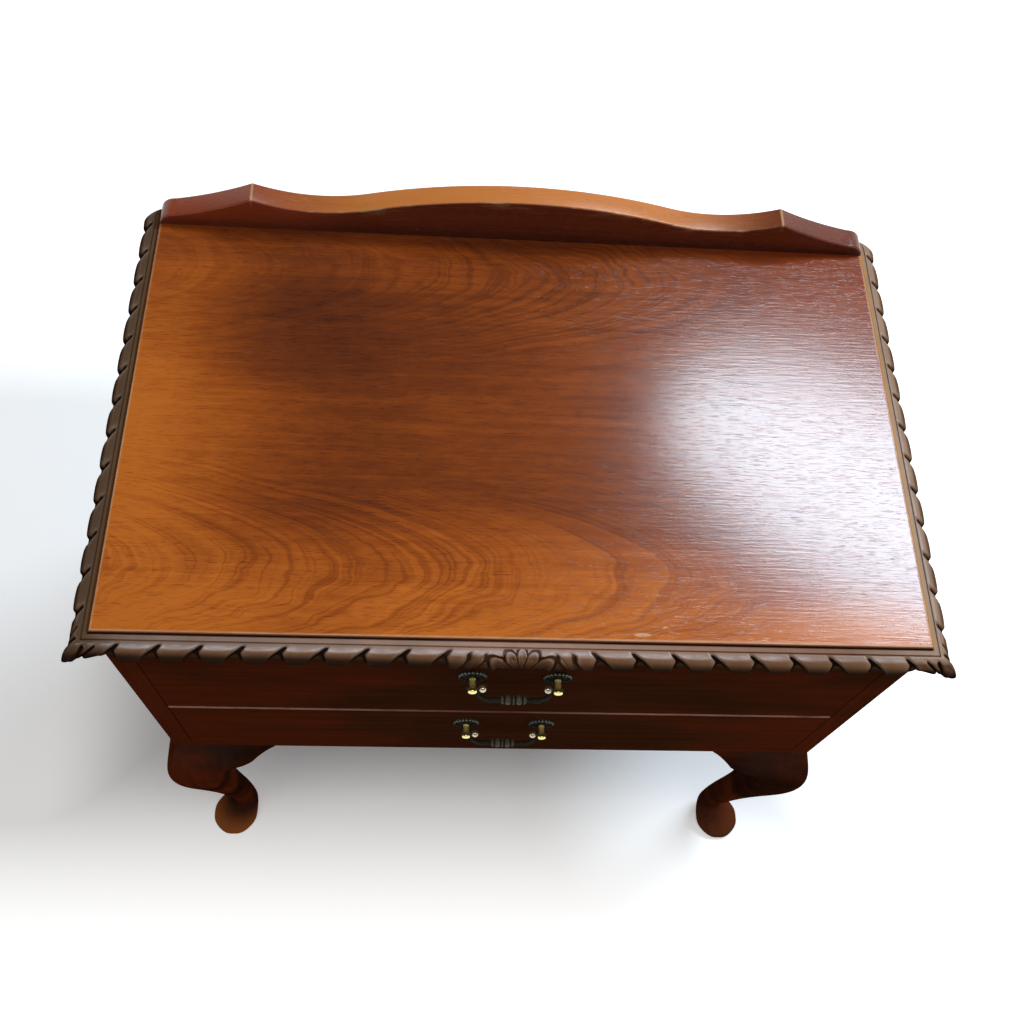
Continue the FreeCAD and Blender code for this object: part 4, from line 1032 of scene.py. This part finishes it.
def rounded_path(points, radii, steps=14):
    """Straight runs joined by arcs of the given radii, as points in a plane."""
    points = [np.asarray(point, float) for point in points]
    path = [points[0][None, :]]
    for before, corner, after, radius in zip(points, points[1:], points[2:], radii):
        back = (before - corner) / np.linalg.norm(before - corner)
        ahead = (after - corner) / np.linalg.norm(after - corner)
        half = math.acos(np.clip(back @ ahead, -1, 1)) / 2
        room = 0.45 * min(np.linalg.norm(before - corner), np.linalg.norm(after - corner))
        reach = min(radius / math.tan(half), room)
        bend = reach * math.tan(half)
        inward = (back + ahead) / np.linalg.norm(back + ahead)
        middle = corner + inward * (bend / math.sin(half) - bend)
        arc, _ = arc_through(corner + back * reach, middle, corner + ahead * reach, steps)
        path.append(arc)
    path.append(points[-1][None, :])
    return np.concatenate(path)


def spaced(path, step):
    """The path's points again, evenly spaced."""
    run = np.concatenate([[0], np.cumsum(np.linalg.norm(np.diff(path, axis=0), axis=1))])
    places = np.linspace(0, run[-1], int(run[-1] / step) + 2)
    return np.stack([np.interp(places, run, path[:, i]) for i in range(2)], axis=-1)


def bail(centre, post_half):
    """Swinging handle: a tube along its centre line, bowed outwards, with a turned knop, balls and pins.

    The tube's radius is a smooth arm plus half-round rings placed along the knop.
    """
    ball = post_half - POST_HEAD - BALL_GAP - BALL_RADIUS
    corner = ball + 3.2 * MM
    points = [(ball, 0), (corner, -14 * MM), (corner * 0.66, -22.6 * MM), (9 * MM, -20 * MM)]
    right = rounded_path(points, (6.5 * MM, 9 * MM))
    path = spaced(np.concatenate([right, right[::-1] * [-1, 1]]), 0.25 * MM)
    tangent = tangents(path)
    across = np.abs(path[:, 0])
    on_grip = smooth(path[:, 1], -15 * MM, -19 * MM)
    radius = 1.75 * MM + 0.45 * MM * bell(across, 18 * MM, 5 * MM) * on_grip
    radius += 0.35 * MM * smooth(across, 11 * MM, 9 * MM) * on_grip
    for middle, half, top in KNOP_RINGS:
        ring = np.sqrt(np.clip(1 - ((across / MM - middle) / half) ** 2, 0, 1))
        radius = np.maximum(radius, (2.3 + (top - 2.3) * ring) * MM * (ring > 0) * on_grip)
    angle = np.linspace(0, 2 * np.pi, 33)
    inplane = np.stack([-tangent[:, 1], np.zeros(len(path)), tangent[:, 0]], axis=-1)
    spoke = np.cos(angle)[:, None] * inplane[:, None, :] + np.sin(angle)[:, None] * [0, 1, 0]
    bow = -2.2 * MM * smooth(path[:, 1], -6 * MM, -20 * MM)
    line = np.stack([path[:, 0], bow, path[:, 1]], axis=-1) + centre
    tube = capped(line[:, None, :] + radius[:, None, None] * spoke)
    sweep = np.linspace(0, np.pi, 25)
    sphere = np.stack([np.sin(sweep), -np.cos(sweep)], axis=-1) * BALL_RADIUS
    pin_end = post_half + POST_HEAD - ball
    pin = [(0, 0), (PIN_RADIUS, 0), (PIN_RADIUS, pin_end), (0, pin_end)]
    grids = [tube]
    knop = np.pad(smooth(radius, 2.3 * MM, 3.6 * MM), 1)
    fields = [np.broadcast_to(0.03 + 0.14 * knop[:, None], tube.shape[:2])]
    for side in (-1, 1):
        spot = centre + [side * ball, 0, 0]
        for profile, value in ((sphere, BALL_RUBBED), (pin, PIN_RUBBED)):
            part = turned(profile, spot, (side, 0, 0), (0, 0, 1), 40)
            grids.append(part)
            fields.append(np.full(part.shape[:2], value))
    return grids, np.concatenate([field.ravel() for field in fields])


def handle(drawer, sizes, bronze, brass):
    """Rosettes, posts and bail of one drawer, in place of their plain nodes."""
    low, high = extent(drawer + "_handle_rosettes")
    front = extent(drawer + "_drawer_front")[0][1]
    height = (low[2] + high[2]) / 2
    radius = (high[2] - low[2]) / 2
    post_half = (high[0] - low[0]) / 2 - radius
    spots = [np.array([side * post_half, front, height]) for side in (-1, 1)]
    made = [rosette(spot, sizes, radius, front - low[1]) for spot in spots]
    field = np.concatenate([values.ravel() for _, values in made])
    piece = surface(drawer + "_rosettes_cast", [grid for grid, _ in made], {"rubbed": field})
    place(piece, drawer + "_drawer", "antique_bronze", bronze, drawer + "_handle_rosettes")
    profile = np.array(POST_PROFILE) * MM
    posts = [turned(profile, spot, (0, -1, 0), (1, 0, 0)) for spot in spots]
    rubbed = np.broadcast_to(smooth(profile[:, 1], 4 * MM, 12 * MM), posts[0].shape[:2])
    piece = surface(drawer + "_posts_turned", posts, {"rubbed": np.concatenate([rubbed, rubbed])})
    place(piece, drawer + "_drawer", "polished_brass", brass, drawer + "_handle_posts")
    grids, field = bail(np.array([0, front - PIN_HEIGHT, height]), post_half)
    piece = surface(drawer + "_bail_cast", grids, {"rubbed": field})
    place(piece, drawer + "_bail", "antique_bronze", bronze, drawer + "_handle_bail")


# Studio

FLOOR_RADIUS = 7.0
BACKDROP_BEND = 3.0
BACKDROP_HEIGHT = 6.0
CAMERA_PLACE = (-0.06368, -0.43925, 1.33285)
CAMERA_TURN = (26.5994, -4.33296, -0.34505)
# Lamps, which face straight down: shape, place, turn about Z in degrees, size, colour
WINDOW_LAMP = ("ELLIPSE", (1.06, 0.77, 2.2), -31, (1.23, 0.58), (0.74, 0.88, 1.0))
OVERHEAD_LAMP = ("RECTANGLE", (-0.05, -0.5, 2.2), 0, (1.6, 0.4), (1.0, 0.97, 0.93))


def floor_finish(tone):
    """Pale floor: it takes shadows, and shows as white away from the object."""
    finish = Finish("Pale floor")
    x, y, z = finish.place()
    speck = finish.noise(x / 0.4, y / 0.4, z / 0.4, 3.0)
    away = (-y).step(0.07, 0.34).most((-x).step(0.36, 0.52) * 0.42).most((-x).step(0.60, 1.0))
    away = away.most(x.step(0.28, 0.50)).most(y.step(0.2, 0.6))
    rays = finish.node("ShaderNodeLightPath").output.node.outputs
    camera, glossy, through = (
        Socket(finish, rays[name]) for name in ("Is Camera Ray", "Is Glossy Ray", "Is Transmission Ray"))
    glow = camera.most(glossy).most(through) * (0.13 + away * 0.70)
    return finish.done(
        Base_Color=finish.shade(tone, 0.99 + speck * 0.02), Roughness=0.9, Specular_IOR_Level=0.0,
        Emission_Color=finish.vector(glow, glow, glow), Emission_Strength=1.0)


def backdrop(tone):
    """Round floor that bends up into a wall: its profile is turned about Z."""
    flat = np.stack([np.linspace(0, FLOOR_RADIUS, 40), np.zeros(40)], axis=-1)
    bend = np.linspace(0, np.pi / 2, 20)[1:]
    curve = np.stack([np.sin(bend), 1 - np.cos(bend)], axis=-1) * BACKDROP_BEND + [FLOOR_RADIUS, 0]
    wall = [(FLOOR_RADIUS + BACKDROP_BEND, BACKDROP_HEIGHT)]
    grid = turned(np.concatenate([flat, curve, wall]), (0, 0, 0), (0, 0, 1), (1, 0, 0), 96)
    piece = surface("studio_floor", [grid])
    piece.data.flip_normals()
    piece.data.materials.append(floor_finish(tone))


def lamp(name, power, shape, spot, turn, size, tone):
    """Soft lamp of a shape that faces straight down, turned about Z."""
    data = bpy.data.lights.new(name, "AREA")
    data.shape = shape
    data.size, data.size_y = size
    data.energy = power
    data.color = tone
    light = bpy.data.objects.new(name, data)
    light.location = spot
    light.rotation_euler = (0, 0, math.radians(turn))
    bpy.context.scene.collection.objects.link(light)


# Operators

class NIGHTSTAND_OT_stage(Operator):
    """Adds the floor, the lamps, the surroundings and the camera"""
    bl_idname = "nightstand.stage"
    bl_label = "Studio"

    def execute(self, context):
        stage = context.scene.nightstand_stage
        backdrop(stage.floor)
        lamp("window_lamp", stage.key_power, *WINDOW_LAMP)
        lamp("overhead_lamp", stage.fill_power, *OVERHEAD_LAMP)
        world = bpy.data.worlds.new("Grey room")
        world.use_nodes = True
        background = world.node_tree.nodes["Background"].inputs
        background["Color"].default_value = (1, 1, 1, 1)
        background["Strength"].default_value = stage.room
        context.scene.world = world
        context.scene.view_settings.view_transform = "Standard"
        data = bpy.data.cameras.new("camera")
        data.lens = stage.lens
        camera = bpy.data.objects.new("camera", data)
        camera.location = CAMERA_PLACE
        camera.rotation_euler = Euler([math.radians(angle) for angle in CAMERA_TURN])
        context.scene.collection.objects.link(camera)
        context.scene.camera = camera
        return {"FINISHED"}


class NIGHTSTAND_OT_top(Operator):
    """Finishes the veneered top"""
    bl_idname = "nightstand.top"
    bl_label = "Veneered top"

    def execute(self, context):
        dress(veneer(context.scene.nightstand_wood), "top_panel")
        return {"FINISHED"}


class NIGHTSTAND_OT_gallery(Operator):
    """Builds the shaped gallery with rubbed arrises"""
    bl_idname = "nightstand.gallery"
    bl_label = "Gallery"

    def execute(self, context):
        finish = gallery_wood(context.scene.nightstand_wood)
        place(gallery(), "case", "gallery_wood", finish, "back_gallery")
        return {"FINISHED"}


class NIGHTSTAND_OT_mouldings(Operator):
    """Carves the three edge mouldings"""
    bl_idname = "nightstand.mouldings"
    bl_label = "Carved mouldings"

    def execute(self, context):
        sizes = context.scene.nightstand_moulding
        finish = carved_wood(context.scene.nightstand_wood)
        place(front_moulding(sizes), "case", "carved_moulding", finish, "rope_moulding_front")
        for side, word in ((-1, "left"), (1, "right")):
            piece = side_moulding(sizes, side, "carved_moulding_" + word)
            place(piece, "case", "carved_moulding", finish, "rope_moulding_" + word)
        return {"FINISHED"}


class NIGHTSTAND_OT_case(Operator):
    """Finishes the boards of the case and the drawer fronts"""
    bl_idname = "nightstand.case"
    bl_label = "Case boards"

    def execute(self, context):
        colours = context.scene.nightstand_wood
        across = lacquered_wood("Carcass lacquer", colours.case, X)
        upright = lacquered_wood("Side lacquer", colours.case, Z)
        top = float(extent("lower_drawer_front")[1][2])
        edged = lacquered_wood("Lower front lacquer", colours.case, X, worn_and_lit_from=top - 3.2 * MM)
        dress(across, "top_rail_front", "base_board", "upper_drawer_front")
        dress(edged, "lower_drawer_front")
        dress(upright, "side_panel_left", "side_panel_right")
        dress(plain_wood("Rail timber", colours.lining, X, **LINING), "top_rail_back")
        runner = plain_wood("Runner timber", colours.lining, Y, **LINING)
        dress(runner, "kicker_left", "kicker_right", "runner_left", "runner_right")
        dress(plain_wood("Back plywood", colours.plywood, X, **PLYWOOD), "back_panel")
        return {"FINISHED"}


class NIGHTSTAND_OT_legs(Operator):
    """Builds the cabriole legs and finishes the knee blocks"""
    bl_idname = "nightstand.legs"
    bl_label = "Legs"

    def execute(self, context):
        tone = context.scene.nightstand_wood.legs
        finish = lacquered_wood("Leg lacquer", tone, Z, redden=0.42, gloss=0.05)
        for row, end in (("front", -1), ("back", 1)):
            for word, side in (("left", -1), ("right", 1)):
                name = "leg_" + row + "_" + word
                place(leg(name, side, end), "case", "leg_wood", finish, name)
                dress(finish, "knee_block_side_" + row + "_" + word)
        dress(finish, "knee_block_front_left", "knee_block_front_right")
        return {"FINISHED"}


class NIGHTSTAND_OT_drawers(Operator):
    """Finishes the sides, backs and bottoms of the drawers"""
    bl_idname = "nightstand.drawers"
    bl_label = "Drawer linings"

    def execute(self, context):
        colours = context.scene.nightstand_wood
        sides = plain_wood("Drawer side timber", colours.lining, Y, **LINING)
        backs = plain_wood("Drawer back timber", colours.lining, X, **LINING)
        bottoms = plain_wood("Drawer bottom plywood", colours.plywood, X, **PLYWOOD)
        for drawer in ("upper_drawer_", "lower_drawer_"):
            dress(sides, drawer + "side_left", drawer + "side_right")
            dress(backs, drawer + "back")
            dress(bottoms, drawer + "bottom")
        return {"FINISHED"}


class NIGHTSTAND_OT_handles(Operator):
    """Builds the cast handles of both drawers"""
    bl_idname = "nightstand.handles"
    bl_label = "Handles"

    def execute(self, context):
        sizes = context.scene.nightstand_handle
        bronze = metal(
            "Antique bronze", sizes.bronze, sizes.bronze_rubbed, roughness=0.13, bare=0.0, field="rubbed",
            gloss=0.15)
        brass = metal(
            "Polished brass", sizes.brass, sizes.brass_rubbed, roughness=0.20, bare=0.35, field="rubbed")
        for drawer in ("upper", "lower"):
            handle(drawer, sizes, bronze, brass)
        return {"FINISHED"}


class NIGHTSTAND_OT_fixings(Operator):
    """Finishes the dowels, screws, pins and nuts"""
    bl_idname = "nightstand.fixings"
    bl_label = "Fixings"

    def execute(self, context):
        tone = context.scene.nightstand_wood.dowel
        dress(plain_wood("Leg dowel beech", tone, Z, **BEECH), "leg_dowels")
        dress(plain_wood("Rail dowel beech", tone, X, **BEECH), "rail_dowels")
        sizes = context.scene.nightstand_handle
        plain = metal("Plain steel", sizes.steel, sizes.steel_rubbed, roughness=0.35)
        dress(plain, "runner_screws", "top_screws", "gallery_screws", "back_panel_pins")
        for drawer in ("upper", "lower"):
            dress(plain, drawer + "_drawer_bottom_screws", drawer + "_handle_nuts")
        return {"FINISHED"}


STEPS = (
    NIGHTSTAND_OT_stage, NIGHTSTAND_OT_top, NIGHTSTAND_OT_gallery, NIGHTSTAND_OT_mouldings,
    NIGHTSTAND_OT_case, NIGHTSTAND_OT_legs, NIGHTSTAND_OT_drawers, NIGHTSTAND_OT_handles,
    NIGHTSTAND_OT_fixings,
)


class NIGHTSTAND_PT_panel(Panel):
    """Lists the steps that dress the nightstand"""
    bl_label = "Nightstand"
    bl_space_type = "VIEW_3D"
    bl_region_type = "UI"
    bl_category = "Nightstand"

    def draw(self, context):
        for step in STEPS:
            self.layout.operator(step.bl_idname, text=step.bl_label)


GROUPS = {
    "nightstand_wood": WoodColours, "nightstand_moulding": MouldingSizes,
    "nightstand_handle": HandleSizes, "nightstand_stage": StageSettings,
}


def register():
    for cls in (*GROUPS.values(), *STEPS, NIGHTSTAND_PT_panel):
        bpy.utils.register_class(cls)
    for name, group in GROUPS.items():
        setattr(bpy.types.Scene, name, PointerProperty(type=group))


def unregister():
    for name in GROUPS:
        delattr(bpy.types.Scene, name)
    for cls in reversed((*GROUPS.values(), *STEPS, NIGHTSTAND_PT_panel)):
        bpy.utils.unregister_class(cls)


def main():
    register()
    bpy.ops.nightstand.stage()
    bpy.ops.nightstand.top()
    bpy.ops.nightstand.gallery()
    bpy.ops.nightstand.mouldings()
    bpy.ops.nightstand.case()
    bpy.ops.nightstand.legs()
    bpy.ops.nightstand.drawers()
    bpy.ops.nightstand.handles()
    bpy.ops.nightstand.fixings()


if __name__ == "__main__":
    main()
